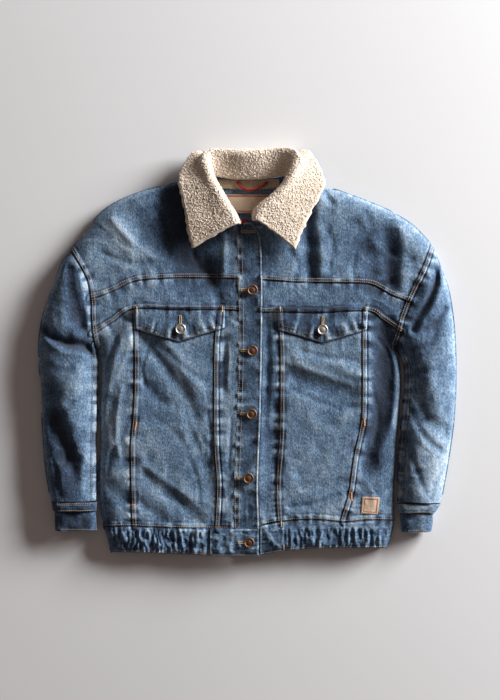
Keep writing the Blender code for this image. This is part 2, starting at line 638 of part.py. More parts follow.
# ---------------------------------------------------------------- collar
SHERPA_WALL = 5.5
COLLAR = [
    # base on the neck seam, roll line, outer edge, way the fall lies off the stand in degrees from +X to +Z
    ((-26, 203, 28.4), (-8, 208, 33.0), (-85, 172, 26.0), 90),
    ((-34, 220, 27.6), (-17, 225, 33.0), (-93, 186, 26.5), 93),
    ((-47, 241, 26.2), (-30, 245, 33.0), (-96, 210, 26.5), 98),
    ((-58, 262, 25.5), (-43, 267, 34.0), (-102, 242, 26.5), 110),
    ((-64, 277, 22.0), (-54, 286, 35.0), (-109, 270, 24.0), 128),
    ((-64, 287, 17.0), (-61, 303, 35.0), (-110, 292, 20.0), 150),
    ((-57, 289, 11.5), (-64, 315, 33.5), (-102, 308, 14.0), 178),
    ((-43, 287, 7.5), (-56, 325, 30.5), (-82, 318, 8.0), 212),
    ((-24, 284, 5.6), (-34, 330, 28.0), (-50, 308, 4.0), 245),
    ((0, 283, 5.6), (2, 330, 27.0), (2, 304, 3.6), 270),
    ((26, 284, 5.6), (38, 331, 28.0), (54, 308, 4.0), 295),
    ((45, 287, 7.5), (63, 328, 30.5), (88, 322, 8.0), 328),
    ((60, 289, 11.5), (76, 318, 33.5), (111, 312, 14.0), 362),
    ((67, 287, 17.0), (73, 305, 35.0), (122, 294, 20.0), 390),
    ((69, 277, 22.0), (66, 287, 35.0), (126, 274, 24.0), 412),
    ((65, 262, 25.5), (54, 270, 34.0), (118, 254, 26.5), 430),
    ((52, 241, 26.2), (32, 249, 33.0), (104, 230, 26.5), 442),
    ((36, 224, 27.6), (12, 230, 33.0), (92, 203, 26.5), 447),
    ((27, 209, 28.8), (8, 213, 33.0), (79, 172, 26.0), 450),
]
COLLAR_STATIONS, COLLAR_COLS = 30, 13
ROLL_RADIUS = 5.0          # of the half turn from stand to fall, middle of the wall
SWING_THINNING = 0.68      # share of the wall lost where the fall swings fastest round the neck
# Control points of the half turn, in radii along the stand and off it
ROLL_TURN = [(-0.8, -1.15), (0.5, -1.15), (1.35, 0.0), (0.5, 1.15), (-0.8, 1.15)]


def collar():
    columns = [np.array([row[k] for row in COLLAR], float) for k in range(3)]
    spread = even(COLLAR_STATIONS)
    base, roll, edge = (along(column, spread) for column in columns)
    turn = np.interp(spread, even(len(COLLAR) - 1), [math.radians(row[3]) for row in COLLAR])
    sheet = []
    for a, b, c, angle in zip(base, roll, edge, turn):
        off = np.array([math.cos(angle), 0.0, math.sin(angle)])
        ahead = (b - a) - ((b - a) @ off) * off
        ahead /= np.linalg.norm(ahead)
        # The roll is a half turn about a centre that lies inside the edge seen
        centre = b - (ROLL_RADIUS + SHERPA_WALL / 2) * ahead
        turned = [centre + ROLL_RADIUS * (up * ahead + outwards * off) for up, outwards in ROLL_TURN]
        control = [a, (a + turned[0]) / 2] + turned + [0.5 * turned[-1] + 0.5 * c, c]
        sheet.append(spline_points(control, COLLAR_COLS))
    sheet = np.array(sheet)
    du, dv = np.gradient(sheet, axis=0), np.gradient(sheet, axis=1)
    across = np.cross(du, dv)
    across /= np.linalg.norm(across, axis=-1, keepdims=True)
    # Thinner where the roll swings round the sides of the neck
    swing = np.abs(np.gradient(turn))
    half = SHERPA_WALL / 2 * (1 - SWING_THINNING * eased(swing / swing.max()))[:, None, None]
    wall_mesh("collar", sheet + half * across, sheet - half * across, SHERPA)


def spline_points(control, count):
    """Uniform B-spline that starts and ends on its end points."""
    pts = np.asarray(control, float)
    pts = np.vstack([2 * pts[0] - pts[1], pts, 2 * pts[-1] - pts[-2]])
    spans = len(pts) - 3
    out = []
    for s in spans * even(count):
        i = min(int(s), spans - 1)
        t = s - i
        p0, p1, p2, p3 = pts[i:i + 4]
        out.append(((1 - t) ** 3 * p0 + (3 * t ** 3 - 6 * t ** 2 + 4) * p1
                    + (-3 * t ** 3 + 3 * t ** 2 + 3 * t + 1) * p2 + t ** 3 * p3) / 6)
    return np.array(out)


# ---------------------------------------------------------------- things on the panels
FLAPS = {
    "L": {"top": [(-183, 72), (-110, 72), (-36, 72)], "low": [(-182, 36), (-113, 15), (-37, 38)]},
    "R": {"top": [(50, 72), (124, 73), (198, 72)], "low": [(51, 35), (123, 13), (196, 35)]},
}
FLAP_OFF = 1.0             # clear of the panel below
FLAP_ROWS, FLAP_COLS = 4, 10


def flaps():
    for side, edges in FLAPS.items():
        top, low = edges["top"], edges["low"]
        rows, cols = even(FLAP_ROWS), even(FLAP_COLS)
        grid = patch(polyline_points(low, cols), polyline_points(top, cols),
                     polyline_points([low[0], top[0]], rows), polyline_points([low[-1], top[-1]], rows))
        cloth(f"pocket_flap_{side}", grid, DENIM, lift=FLAP_OFF)


BUTTON_SIDES = 12
BUTTON_OFF = 0.55          # back of the cap above the cloth
BUTTON_SLOPE = 6.0         # reach over which the cloth's slope is read
# radius and height from the middle of the back to the middle of the front
SHANK_BUTTON = [(0.0, 0.0), (5.0, 0.0), (8.2, 1.2), (8.5, 2.2), (7.7, 3.2), (6.6, 2.6), (3.0, 3.3),
                (0.0, 3.4)]
BUTTONS = [
    # name, x, y, material
    ("button_1", 9, 100, COPPER), ("button_2", 9, 0.5, COPPER), ("button_3", 7.5, -103, COPPER),
    ("button_4", 2.5, -208, COPPER), ("button_hem", 3.5, -313, COPPER),
    ("flap_button_L", -108.5, 36, SILVER), ("flap_button_R", 123.5, 35, SILVER),
]


def buttons():
    for name, x, y, look in BUTTONS:
        place = np.array([[x, y]], float)
        up = normals(place, cloth_top, BUTTON_SLOPE)[0]
        if name.startswith("flap"):
            lift = FLAP_OFF + WALL
        elif name == "button_hem":
            lift = 0.0
        else:
            lift = float(placket_lift(place)[0])
        side = np.cross((0, 1, 0), up)
        side /= np.linalg.norm(side)
        ahead = np.cross(up, side)
        foot = np.array([x, y, cloth_top(place)[0]]) + up * (lift + BUTTON_OFF)
        verts, faces = [foot + up * SHANK_BUTTON[0][1]], []
        for r, h in SHANK_BUTTON[1:-1]:
            for k in range(BUTTON_SIDES):
                a = 2 * math.pi * k / BUTTON_SIDES
                verts.append(foot + up * h + r * (math.cos(a) * side + math.sin(a) * ahead))
        verts.append(foot + up * SHANK_BUTTON[-1][1])
        rings, last = len(SHANK_BUTTON) - 2, len(verts) - 1
        for k in range(BUTTON_SIDES):
            n = (k + 1) % BUTTON_SIDES
            faces.append((0, 1 + n, 1 + k))
            for i in range(rings - 1):
                a, b = 1 + i * BUTTON_SIDES, 1 + (i + 1) * BUTTON_SIDES
                faces.append((a + k, a + n, b + n, b + k))
            top = 1 + (rings - 1) * BUTTON_SIDES
            faces.append((top + k, top + n, last))
        add_mesh(name, verts, faces, look)


def flat_strip(name, grid, floor, thick, look):
    outer = np.dstack([grid, np.full(grid.shape[:2], floor + thick)])
    inner = np.dstack([grid, np.full(grid.shape[:2], floor)])
    wall_mesh(name, outer, inner, look)


TAPE_UPPER = [(-52, 278), (-30, 277), (0, 276), (30, 277), (53, 278)]
TAPE_LOWER = [(-53, 269), (-30, 267), (0, 266), (30, 267), (54, 269)]
TAPE_COLS, TAPE_WALL = 12, 1.0
FLAT_PIECES = [
    # name, left, right, lower and upper side, thickness, material
    ("neck_label", -35, 51, 227, 258, 1.0, LABEL),
    ("size_tab", -11, 1, 205, 217, 0.8, RED),
]
INSIDE = WALL + 3 * SEAM_GAP   # floor of what lies on the back's inner face
LOOP_LINE = [(-17, 278.5, 6.5), (-11, 271, 7.0), (-3, 266, 7.0), (6, 264.5, 7.0), (16, 267, 7.0),
             (27, 273, 7.0), (34, 278.5, 6.5)]
LOOP_RADIUS, LOOP_SIDES, LOOP_RINGS = 2.1, 8, 18


def neck_parts():
    """Tape, label and size tab on the inside of the back, and the hanger loop."""
    upper, lower = along(TAPE_UPPER, even(TAPE_COLS)), along(TAPE_LOWER, even(TAPE_COLS))
    ends = [np.array([lower[k], upper[k]]) for k in (0, -1)]
    flat_strip("neck_tape", patch(lower, upper, *ends), INSIDE, TAPE_WALL, TAPE)
    for name, left, right, low, high, thick, look in FLAT_PIECES:
        corners = np.array([[(left, low), (right, low)], [(left, high), (right, high)]], float)
        flat_strip(name, corners, INSIDE, thick, look)
    hanger_loop()


def hanger_loop():
    """Round cord whose ends are sewn in above the tape."""
    centre = along(LOOP_LINE, even(LOOP_RINGS))
    verts, faces = [], []
    for p, way in zip(centre, np.gradient(centre, axis=0)):
        way = way / np.linalg.norm(way)
        right = np.cross(way, (0, 0, 1))
        right /= np.linalg.norm(right)
        lift = np.cross(right, way)
        for k in range(LOOP_SIDES):
            a = 2 * math.pi * k / LOOP_SIDES
            verts.append(p + LOOP_RADIUS * (math.cos(a) * right + math.sin(a) * lift))
    for i in range(LOOP_RINGS):
        a, b = i * LOOP_SIDES, (i + 1) * LOOP_SIDES
        for k in range(LOOP_SIDES):
            n = (k + 1) % LOOP_SIDES
            faces.append((a + k, a + n, b + n, b + k))
    faces.append(tuple(range(LOOP_SIDES)))
    faces.append(tuple(LOOP_RINGS * LOOP_SIDES + k for k in reversed(range(LOOP_SIDES))))
    add_mesh("hanger_loop", verts, faces, RED)


PATCH_CORNERS = (187, -266), (214, -267.5), (217, -239.5), (189, -238.5)
PATCH_CELLS, PATCH_OFF, PATCH_WALL = 3, 0.5, 1.0


def side_patch():
    a, b, c, d = PATCH_CORNERS
    steps = even(PATCH_CELLS)
    grid = patch(along([a, b], steps), along([d, c], steps), along([a, d], steps), along([b, c], steps))
    cloth("side_patch", grid, LABEL, lift=PATCH_OFF, wall=PATCH_WALL)


def build():
    for obj in list(bpy.data.objects):
        bpy.data.objects.remove(obj, do_unlink=True)
    body_front()
    placket()
    back_panel()
    hem_band()
    sleeves()
    cuffs()
    collar()
    flaps()
    buttons()
    neck_parts()
    side_patch()


build()
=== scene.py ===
"""Looks of a washed denim trucker jacket with a sherpa collar, laid flat.

Millimetres in the tables, metres in the meshes.  The cloth's plan outlines,
seams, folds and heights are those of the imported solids; each solid is replaced
by a thin shell of the same form at a finer grid, with creases, puckered seams,
real stitches and pile added.  "L" is the side at -X, "R" the side at +X.
"""
import math

import bmesh
import bpy
import numpy as np
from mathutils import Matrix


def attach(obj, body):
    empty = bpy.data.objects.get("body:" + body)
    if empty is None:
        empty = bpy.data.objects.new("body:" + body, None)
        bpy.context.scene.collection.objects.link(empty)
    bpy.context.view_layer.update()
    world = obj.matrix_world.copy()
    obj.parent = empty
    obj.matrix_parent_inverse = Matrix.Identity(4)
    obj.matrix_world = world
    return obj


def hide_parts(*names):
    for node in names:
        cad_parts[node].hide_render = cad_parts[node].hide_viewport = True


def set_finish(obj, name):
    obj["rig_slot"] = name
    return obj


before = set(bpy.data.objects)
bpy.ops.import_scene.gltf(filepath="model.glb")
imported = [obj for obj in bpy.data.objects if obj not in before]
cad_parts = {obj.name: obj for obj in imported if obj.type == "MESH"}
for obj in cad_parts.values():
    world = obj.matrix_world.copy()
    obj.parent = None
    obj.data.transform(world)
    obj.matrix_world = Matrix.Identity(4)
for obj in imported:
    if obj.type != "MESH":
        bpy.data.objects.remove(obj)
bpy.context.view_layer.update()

MM = 0.001
BODY = "root"

# ------------------------------------------------------------------ sizes
WALL = 1.5              # shell of the denim as seen at its edges
SEAM_GAP = 0.3
SEAM_TOP = 8.7          # upper face of the cloth at the rim
SEAM_UNDER = 8.2        # lower face there
BODY_HEIGHT = 22.0      # crown of the cloth over the surface
SLEEVE_HEIGHT = 32.0
SLEEVE_START, SLEEVE_RISE = -12, 45     # where the sleeves start to rise past the armhole, and over how far
BODY_ROUND = 30.0       # how far in from its rim the cloth curves
SLEEVE_ROUND = 40.0
UNDER_ROUND = 13.0
RIM_FLAT = 1.0          # within this of the rim, walls lean sideways
HEM_ROUND = 20.0
LAP_LIFT = 2.6          # left hem tab over the right
PLAN_SHIFT = np.array([-1.8, 0.4, 0.0])     # from the tables to the frame's middle
GRID = 2.42             # cell size of the front's shells
FINE_GRID = 1.7         # of narrow pieces
UNDER_GRID = 7.0        # of what lies face down
UNDER_WALL = 2.0        # back, under sleeves and back of the hem
LAPPED_WALL = 2.2       # placket, tabs and flaps, which lie on another piece
STITCH_LENGTH = 2.6
STITCH_PITCH = 3.5      # from one stitch to the next
STITCH_WIDTH = 0.85

# ------------------------------------------------------------------ plan tables
SHOULDER = {
    "L": [(-289, 167), (-262, 200), (-243, 224), (-218, 243), (-177, 261), (-133, 272), (-94, 281),
          (-69, 290)],
    "R": [(307, 168), (289, 190), (269, 209), (244, 225), (219, 238), (162, 260), (127, 269), (96, 279),
          (69, 290)],
}
ARMHOLE = {
    "L": [(-289, 167), (-271, 137), (-260, 114), (-255, 86), (-254, 51), (-252, 28), (-248, 8)],
    "R": [(307, 168), (294, 134), (281, 107), (268, 80), (258, 54), (252, 31), (244, 8)],
}
SIDE = {
    "L": [(-248, 8), (-239, -23), (-240, -91), (-240, -150), (-241, -210), (-240, -250), (-236, -287)],
    "R": [(244, 8), (250, -23), (252, -55), (250, -90), (246, -140), (243, -190), (241, -235), (241, -277)],
}
HEM_SIDE = {
    "L": [(-236, -287), (-229, -310), (-223, -330)],
    "R": [(241, -277), (237, -300), (229, -323)],
}
SLEEVE_OUTER = {
    "L": [(-289, 167), (-305, 144), (-318, 109), (-334, 63), (-341, 20), (-341, -20), (-338, -70),
          (-335, -137), (-330, -195), (-322, -246)],
    "R": [(307, 168), (318, 140), (330, 105), (338, 59), (342, 10), (343, -46), (340, -107), (335, -150),
          (327, -200), (318, -249)],
}
SLEEVE_INNER = {
    "L": [(-248, 8), (-245, -23), (-246, -91), (-247, -140), (-247, -190), (-247, -246)],
    "R": [(244, 8), (256, -20), (259, -50), (257, -85), (253, -130), (249, -180), (248, -221), (247, -246)],
}
YOKE_SEAM = {
    "L": [(-255, 86), (-236, 92), (-214, 101), (-192, 112), (-168, 117), (-114, 120), (-66, 120), (-15, 119)],
    "R": [(268, 80), (237, 92), (210, 107), (190, 111), (147, 112), (82, 113), (54, 115), (25, 117)],
}
POCKET_SEAM = {
    "L": {"side": [(-252, 28), (-219, 49), (-186, 69)], "pocket": [(-186, 69), (-114, 68), (-40, 68)],
          "inner": [(-40, 68), (-14, 67)]},
    "R": {"side": [(252, 31), (223, 51), (196, 66)], "pocket": [(196, 66), (120, 63), (51, 64)],
          "inner": [(51, 64), (25, 64)]},
}
HEM_SEAM = {
    "L": {"side": [(-236, -287), (-188, -286)], "pocket": [(-188, -286), (-120, -289), (-45, -290)],
          "inner": [(-45, -290), (-21, -290)]},
    "R": {"side": [(241, -277), (195, -276), (160, -279)], "pocket": [(160, -279), (106, -275), (50, -279)],
          "inner": [(50, -279), (20, -286)]},
}
OUTER_SEAM = {
    "L": [(-186, 69), (-184, 2), (-185, -86), (-190, -148), (-190, -206), (-188, -286)],
    "R": [(196, 66), (196, 2), (196, -81), (194, -119), (182, -175), (174, -231), (160, -279)],
}
INNER_SEAM = {
    "L": [(-40, 68), (-46, 10), (-47, -79), (-46, -160), (-42, -220), (-45, -290)],
    "R": [(51, 64), (54, 2), (54, -82), (53, -144), (48, -216), (50, -279)],
}
PLACKET_LEFT = [(-17, 206), (-16, 157), (-15, 119), (-14, 67), (-14, 0), (-16, -80), (-19, -158), (-21, -231),
                (-21, -290)]
PLACKET_RIGHT = [(11, 206), (21, 188), (24, 155), (25, 117), (25, 64), (24, -13), (22, -110), (19, -180),
                 (18, -231), (20, -290)]
BUTTON_STAND = [(-2, 204), (-1, 119), (-1, 64), (-3, -80), (-6, -180), (-7, -288)]
NECK_FRONT = {
    "L": [(-69, 290), (-62, 268), (-50, 243), (-34, 219), (-17, 206)],
    "R": [(69, 290), (66, 268), (56, 248), (38, 224), (20, 204)],
}
BACK_NECK = [(-69, 290), (-40, 285), (0, 283), (40, 285), (69, 290)]
HEM_BOTTOM = {"L": [(-223, -330), (-173, -331), (-112, -333), (-60, -335), (20, -336)],
              "R": [(229, -323), (195, -323), (107, -324), (60, -328), (20, -335)]}

FOLD_SHARE = 0.68        # of the height of the solids' folds, as cloth shows them softer
TROUGH_SPREAD, RIDGE_SPREAD = 1.4, 1.15      # how much wider they are here
# Largest folds, as in the solids: depth or height, half width, line followed
TROUGHS = [
    (5.0, 9.0, [(-168, 21), (-148, -8), (-125, -31), (-109, -58), (-87, -109)]),
    (3.5, 7.0, [(-167, -54), (-140, -81), (-119, -87)]),
    (3.5, 9.0, [(-83, -142), (-61, -206), (-59, -241)]),
    (4.5, 8.0, [(-168, -201), (-139, -229), (-104, -252), (-81, -275)]),
    (3.0, 7.0, [(-175, -247), (-150, -267), (-127, -282)]),
    (4.5, 7.0, [(-36, 18), (-37, -65)]),
    (4.0, 6.0, [(-219, -86), (-228, -112)]),
    (3.5, 9.0, [(-228, -221), (-201, -241)]),
    (4.5, 9.0, [(63, -30), (97, -46), (144, -59), (168, -71)]),
    (3.5, 8.0, [(187, -119), (139, -153), (86, -200)]),
    (3.0, 8.0, [(177, -211), (124, -223)]),
    (4.0, 6.0, [(35, -28), (36, -66)]),
    (4.0, 6.0, [(47, -94), (47, -216)]),
    (4.0, 12.0, [(243, 162), (182, 148)]),
    (3.5, 10.0, [(104, 173), (104, 127)]),
    (3.5, 10.0, [(165, 173), (150, 140)]),
    (3.5, 12.0, [(-200, 236), (-189, 224), (-160, 190)]),
    (4.0, 10.0, [(-305, 101), (-292, 18)]),
    (4.5, 9.0, [(-333, 26), (-259, 10)]),
    (6.0, 11.0, [(-309, -130), (-272, -213)]),
    (6.0, 9.0, [(314, 142), (299, 84), (267, 53)]),
    (6.0, 10.0, [(272, -10), (279, -83), (295, -114), (327, -132)]),
]
RIDGES = [
    (4.0, 7.0, [(-196, 40), (-208, 8), (-223, -35), (-236, -64)]),
    (4.5, 8.0, [(238, -6), (246, -40), (244, -102), (229, -139), (215, -168)]),
    (3.0, 10.0, [(-140, 30), (-112, -20), (-80, -60)]),
    (3.0, 10.0, [(80, -10), (130, -22), (180, -40)]),
    (3.0, 12.0, [(-290, -60), (-300, -120)]),
    (3.0, 12.0, [(300, -30), (310, -90)]),
]
# Smaller creases that only the shell has: depth (negative is a ridge), half width, line
CREASES = [
    (8.5, 36.0, [(-112, 262), (-106, 200), (-84, 130)]),
    (-2.5, 6.0, [(-36, 190), (-37, 150), (-37, 122)]),
    (4.0, 14.0, [(-66, 140), (-48, 96), (-38, 60)]),
    (6.5, 20.0, [(224, 30), (226, -60), (214, -130), (200, -186)]),
    (-2.5, 7.0, [(247, -10), (251, -60), (243, -120)]),
    (-1.8, 6.0, [(-185, 62), (-203, -20), (-232, -66)]),
    (-1.6, 5.0, [(38, 60), (40, -60), (36, -120)]),
    (2.2, 9.0, [(34, 60), (34, -60), (34, -220)]),
    (2.4, 12.0, [(74, -44), (97, -58), (144, -76), (166, -90)]),
    (5.0, 10.0, [(-290, 132), (-286, 100), (-281, 72), (-272, 40)]),
    (-1.4, 4.5, [(-271, 118), (-265, 85), (-258, 32)]),
    (-1.5, 9.0, [(-307, 101), (-297, 44)]),
    (6.5, 6.5, [(-336, 38), (-311, 19), (-290, 12), (-268, 8), (-247, -6)]),
    (-1.6, 6.0, [(-332, 20), (-308, 4), (-286, -4), (-264, -8)]),
    (3.5, 22.0, [(-318, -110), (-300, -170), (-290, -235)]),
    (5.5, 5.5, [(315, 136), (308, 110), (299, 86), (288, 64), (272, 36)]),
    (2.2, 6.0, [(325, 70), (308, 40), (303, 12), (272, 2)]),
    (4.0, 12.0, [(228, 198), (236, 160), (236, 116)]),
    (-2.0, 16.0, [(-212, 205), (-190, 170), (-200, 140)]),
    (4.5, 12.0, [(92, 250), (99, 200), (104, 130)]),
    (-2.2, 9.0, [(122, 262), (118, 200), (121, 128)]),
    (4.5, 24.0, [(196, 190), (208, 145), (214, 108)]),
    (-1.8, 9.0, [(254, 200), (256, 150), (256, 104)]),
    (3.2, 5.0, [(124, 268), (134, 250), (141, 240)]),
    (-1.6, 3.5, [(136, 236), (152, 247), (172, 258)]),
    (3.0, 10.0, [(-322, -60), (-306, -120), (-284, -190)]),
    (1.6, 4.0, [(-160, 10), (-172, -30), (-166, -60)]),
    (-1.4, 4.5, [(-150, 5), (-128, -20), (-112, -45)]),
    (1.5, 4.0, [(-130, 0), (-100, -30), (-70, -50)]),
    (-1.3, 4.0, [(-100, -85), (-84, -130), (-72, -160)]),
    (1.4, 4.0, [(-150, -110), (-120, -130), (-98, -160)]),
    (-1.4, 5.0, [(-165, -190), (-130, -215), (-95, -240)]),
    (1.3, 3.5, [(-95, -175), (-80, -215), (-78, -250)]),
    (1.5, 4.0, [(-65, -100), (-58, -150), (-62, -190)]),
    (-1.2, 4.0, [(-30, 10), (-31, -60)]),
    (1.2, 3.5, [(-26, -110), (-30, -190)]),
    (1.5, 4.0, [(-214, 20), (-228, -20), (-232, -60)]),
    (-1.4, 4.0, [(-205, -60), (-214, -120), (-210, -170)]),
    (1.5, 4.5, [(-200, -130), (-222, -170), (-230, -200)]),
    (1.5, 4.5, [(70, -60), (110, -80), (150, -95)]),
    (-1.4, 5.0, [(66, -20), (110, -34), (170, -55)]),
    (1.3, 4.0, [(90, 0), (130, -10), (180, -15)]),
    (1.4, 4.0, [(170, -150), (130, -180), (90, -225)]),
    (-1.4, 5.0, [(180, -135), (140, -170), (100, -210)]),
    (1.4, 4.0, [(150, -235), (110, -250), (70, -255)]),
    (1.5, 4.0, [(215, 20), (235, -10), (240, -40)]),
    (1.4, 4.5, [(205, -60), (215, -110), (208, -150)]),
    (1.3, 4.0, [(36, 40), (38, -20)]),
    (1.5, 5.0, [(-150, 235), (-130, 200), (-128, 160)]),
    (-1.5, 6.0, [(-220, 215), (-190, 180), (-150, 150)]),
    (1.5, 5.0, [(-235, 160), (-200, 145), (-160, 140)]),
    (1.4, 5.0, [(-90, 165), (-80, 140), (-60, 125)]),
    (1.6, 5.0, [(120, 215), (140, 180), (136, 135)]),
    (-1.5, 6.0, [(190, 215), (205, 180), (240, 150)]),
    (1.5, 5.0, [(70, 165), (84, 140), (80, 118)]),
    (1.5, 5.0, [(200, 190), (180, 165), (172, 130)]),
    (1.4, 5.0, [(270, 150), (240, 130), (210, 125)]),
    (0.8, 6.0, [(-330, -20), (-300, -34), (-262, -30)]),
    (2.0, 6.0, [(-262, -70), (-290, -90), (-318, -120)]),
    (1.8, 5.0, [(-258, -120), (-280, -150), (-300, -190)]),
    (1.8, 5.0, [(-325, -160), (-312, -200), (-306, -235)]),
    (-1.6, 6.0, [(-262, -160), (-270, -200), (-268, -235)]),
    (2.0, 6.0, [(325, 70), (300, 40), (275, 30)]),
    (-1.8, 6.0, [(320, 110), (305, 75), (285, 50)]),
    (2.0, 6.0, [(335, -10), (305, -30), (272, -36)]),
    (2.0, 6.0, [(268, -100), (290, -140), (322, -165)]),
    (1.8, 5.0, [(262, -150), (275, -190), (290, -230)]),
    (-1.6, 6.0, [(330, -60), (312, -100), (300, -104)]),
    (1.8, 5.0, [(325, -190), (308, -215), (300, -240)]),
]

# ------------------------------------------------------------------ seams
# A lapped seam is a band, folded over and stitched down, on one side of its line.
# side: which side of the line the band is on, +1 left of its direction, -1 right
# rows: how far each row of stitches is from the line, on the band's side
BAND = 7.6              # width of a felled seam
BAND_RISE = 1.3
STEP_DIP = 1.1          # the cloth below a band is pulled down beside it
DOUBLE = (1.8, 6.0)
NARROW = (1.6, 5.2)


def chained(table):
    """One line through the stretches of a seam that is cut at other seams."""
    points = list(table["side"]) + list(table["pocket"])[1:] + list(table["inner"])[1:]
    return points


SEAMS = [
    # name, line, side of the band, rows, thread, pucker depth
    ("yoke_L", YOKE_SEAM["L"], 1, DOUBLE, "tan", 0.55),
    ("yoke_R", YOKE_SEAM["R"], -1, DOUBLE, "tan", 0.55),
    ("pocket_L", chained(POCKET_SEAM["L"]), 1, NARROW, "tan", 0.5),
    ("pocket_R", chained(POCKET_SEAM["R"]), -1, NARROW, "tan", 0.5),
    ("outer_L", OUTER_SEAM["L"], 1, DOUBLE, "gold", 0.75),
    ("outer_R", OUTER_SEAM["R"], -1, DOUBLE, "gold", 0.75),
    ("inner_L", INNER_SEAM["L"], -1, DOUBLE, "gold", 0.75),
    ("inner_R", INNER_SEAM["R"], 1, DOUBLE, "gold", 0.75),
    ("armhole_L", ARMHOLE["L"], 1, DOUBLE, "tan", 0.65),
    ("armhole_R", ARMHOLE["R"], -1, DOUBLE, "tan", 0.65),
    ("hem_L", chained(HEM_SEAM["L"]), 1, (1.8,), "tan", 0.8),
    ("hem_R", chained(HEM_SEAM["R"]), -1, (1.8,), "tan", 0.8),
]


# ------------------------------------------------------------------ curves
def smooth_line(points, per_span=8):
    """Points of a Catmull-Rom curve through the given ones."""
    pts = np.asarray(points, float)
    if len(pts) < 3:
        return pts
    ends = np.vstack([2 * pts[0] - pts[1], pts, 2 * pts[-1] - pts[-2]])
    t = (np.arange(per_span) / per_span)[:, None]
    out = []
    for i in range(1, len(ends) - 2):
        p0, p1, p2, p3 = ends[i - 1:i + 3]
        out.append(0.5 * (2 * p1 + (p2 - p0) * t + (2 * p0 - 5 * p1 + 4 * p2 - p3) * t ** 2
                          + (3 * p1 - p0 - 3 * p2 + p3) * t ** 3))
    return np.vstack(out + [pts[-1:]])


def lengths(line):
    return np.concatenate([[0], np.cumsum(np.linalg.norm(np.diff(line, axis=0), axis=1))])


def on_line(line, fractions):
    """Points of a polyline at fractions of its length."""
    total = lengths(line)
    where = np.asarray(fractions, float) * total[-1]
    return np.stack([np.interp(where, total, line[:, k]) for k in range(line.shape[1])], axis=1)


def along(points, fractions):
    return on_line(smooth_line(points), fractions)


def even(count):
    return np.linspace(0, 1, count + 1)


def crowded(count, at_start=True, at_end=True):
    """Fractions from 0 to 1 that lie closer together at a rounded edge."""
    t = even(count)
    if at_start and at_end:
        return 0.5 * t + 0.5 * (0.5 - 0.5 * np.cos(math.pi * t))
    curve = 1 - np.cos(0.5 * math.pi * t)
    blend = 0.5 * curve + 0.5 * t
    return blend if at_start else 1 - blend[::-1]


def hemmed(count, share=0.55):
    """Fractions from 0 to 1 that lie closer together at both ends, where the seams are."""
    t = even(count)
    return t - share * np.sin(2 * math.pi * t) / (2 * math.pi)


def nearest(points, line):
    """Distance, signed side and length along a polyline for plan points."""
    best = np.full(len(points), 1e18)
    side = np.zeros(len(points))
    place = np.zeros(len(points))
    start = lengths(line)
    for k, (a, b) in enumerate(zip(line[:-1], line[1:])):
        run = b - a
        size = math.hypot(*run)
        if size < 1e-9:
            continue
        away = points - a
        t = np.clip((away @ run) / size ** 2, 0, 1)
        off = away - t[:, None] * run
        gap = off[:, 0] ** 2 + off[:, 1] ** 2
        hit = gap < best
        best = np.where(hit, gap, best)
        side = np.where(hit, np.sign(run[0] * away[:, 1] - run[1] * away[:, 0]), side)
        place = np.where(hit, start[k] + t * size, place)
    return np.sqrt(best), side, place


def near_box(points, line, reach):
    """Indices of the plan points within reach of a line's bounding box."""
    low, high = line.min(axis=0) - reach, line.max(axis=0) + reach
    return np.nonzero(((points > low) & (points < high)).all(axis=1))[0]


def rounding(reach):
    t = np.clip(reach, 0, 1)
    return np.sqrt(np.maximum(0, 1 - (1 - t) ** 2))


def eased(t):
    t = np.clip(t, 0, 1)
    return t * t * (3 - 2 * t)


def bell(x, width, middle=0.0):
    """1 at the middle, falling softly to 0 over about twice the width."""
    return np.exp(-((x - middle) / width) ** 2)


def unit(vectors, least=0.0):
    """Vectors of length 1, from none shorter than the least."""
    return vectors / np.maximum(np.linalg.norm(vectors, axis=-1, keepdims=True), least)


def full_turn(count):
    """Angles of the points of a ring."""
    return 2 * math.pi * np.arange(count) / count


# ------------------------------------------------------------------ noise
LATTICE = np.random.RandomState(20).uniform(-1, 1, (256, 256))
LATTICE_LINE = np.random.RandomState(7).uniform(-1, 1, 4096)


def noise(x, y, scale, seed=0):
    """Smooth value noise from -1 to 1, about `scale` millimetres a lump."""
    u, v = x / scale + seed * 17.31, y / scale + seed * 9.17
    i, j = np.floor(u).astype(int), np.floor(v).astype(int)
    fu, fv = u - i, v - j
    fu, fv = fu * fu * fu * (fu * (6 * fu - 15) + 10), fv * fv * fv * (fv * (6 * fv - 15) + 10)
    pick = lambda a, b: LATTICE[a % 256, b % 256]
    low = pick(i, j) * (1 - fu) + pick(i + 1, j) * fu
    high = pick(i, j + 1) * (1 - fu) + pick(i + 1, j + 1) * fu
    return low * (1 - fv) + high * fv


def noise_line(s, scale, seed=0):
    """The same along one length."""
    u = s / scale + seed * 37.7 + 1000
    i = np.floor(u).astype(int)
    f = u - i
    f = f * f * (3 - 2 * f)
    return LATTICE_LINE[i % 4096] * (1 - f) + LATTICE_LINE[(i + 1) % 4096] * f


def crumple(x, y, scale, seed):
    """Creased noise: sharp ridges between soft hollows, warped so none runs straight."""
    wx = x + 0.6 * scale * noise(x, y, scale * 1.7, seed + 3)
    wy = y + 0.6 * scale * noise(x, y, scale * 1.7, seed + 5)
    ridge = 1 - 2 * np.abs(noise(wx, wy, scale, seed))
    return ridge + 0.5 * noise(wx, wy, scale * 0.5, seed + 9)


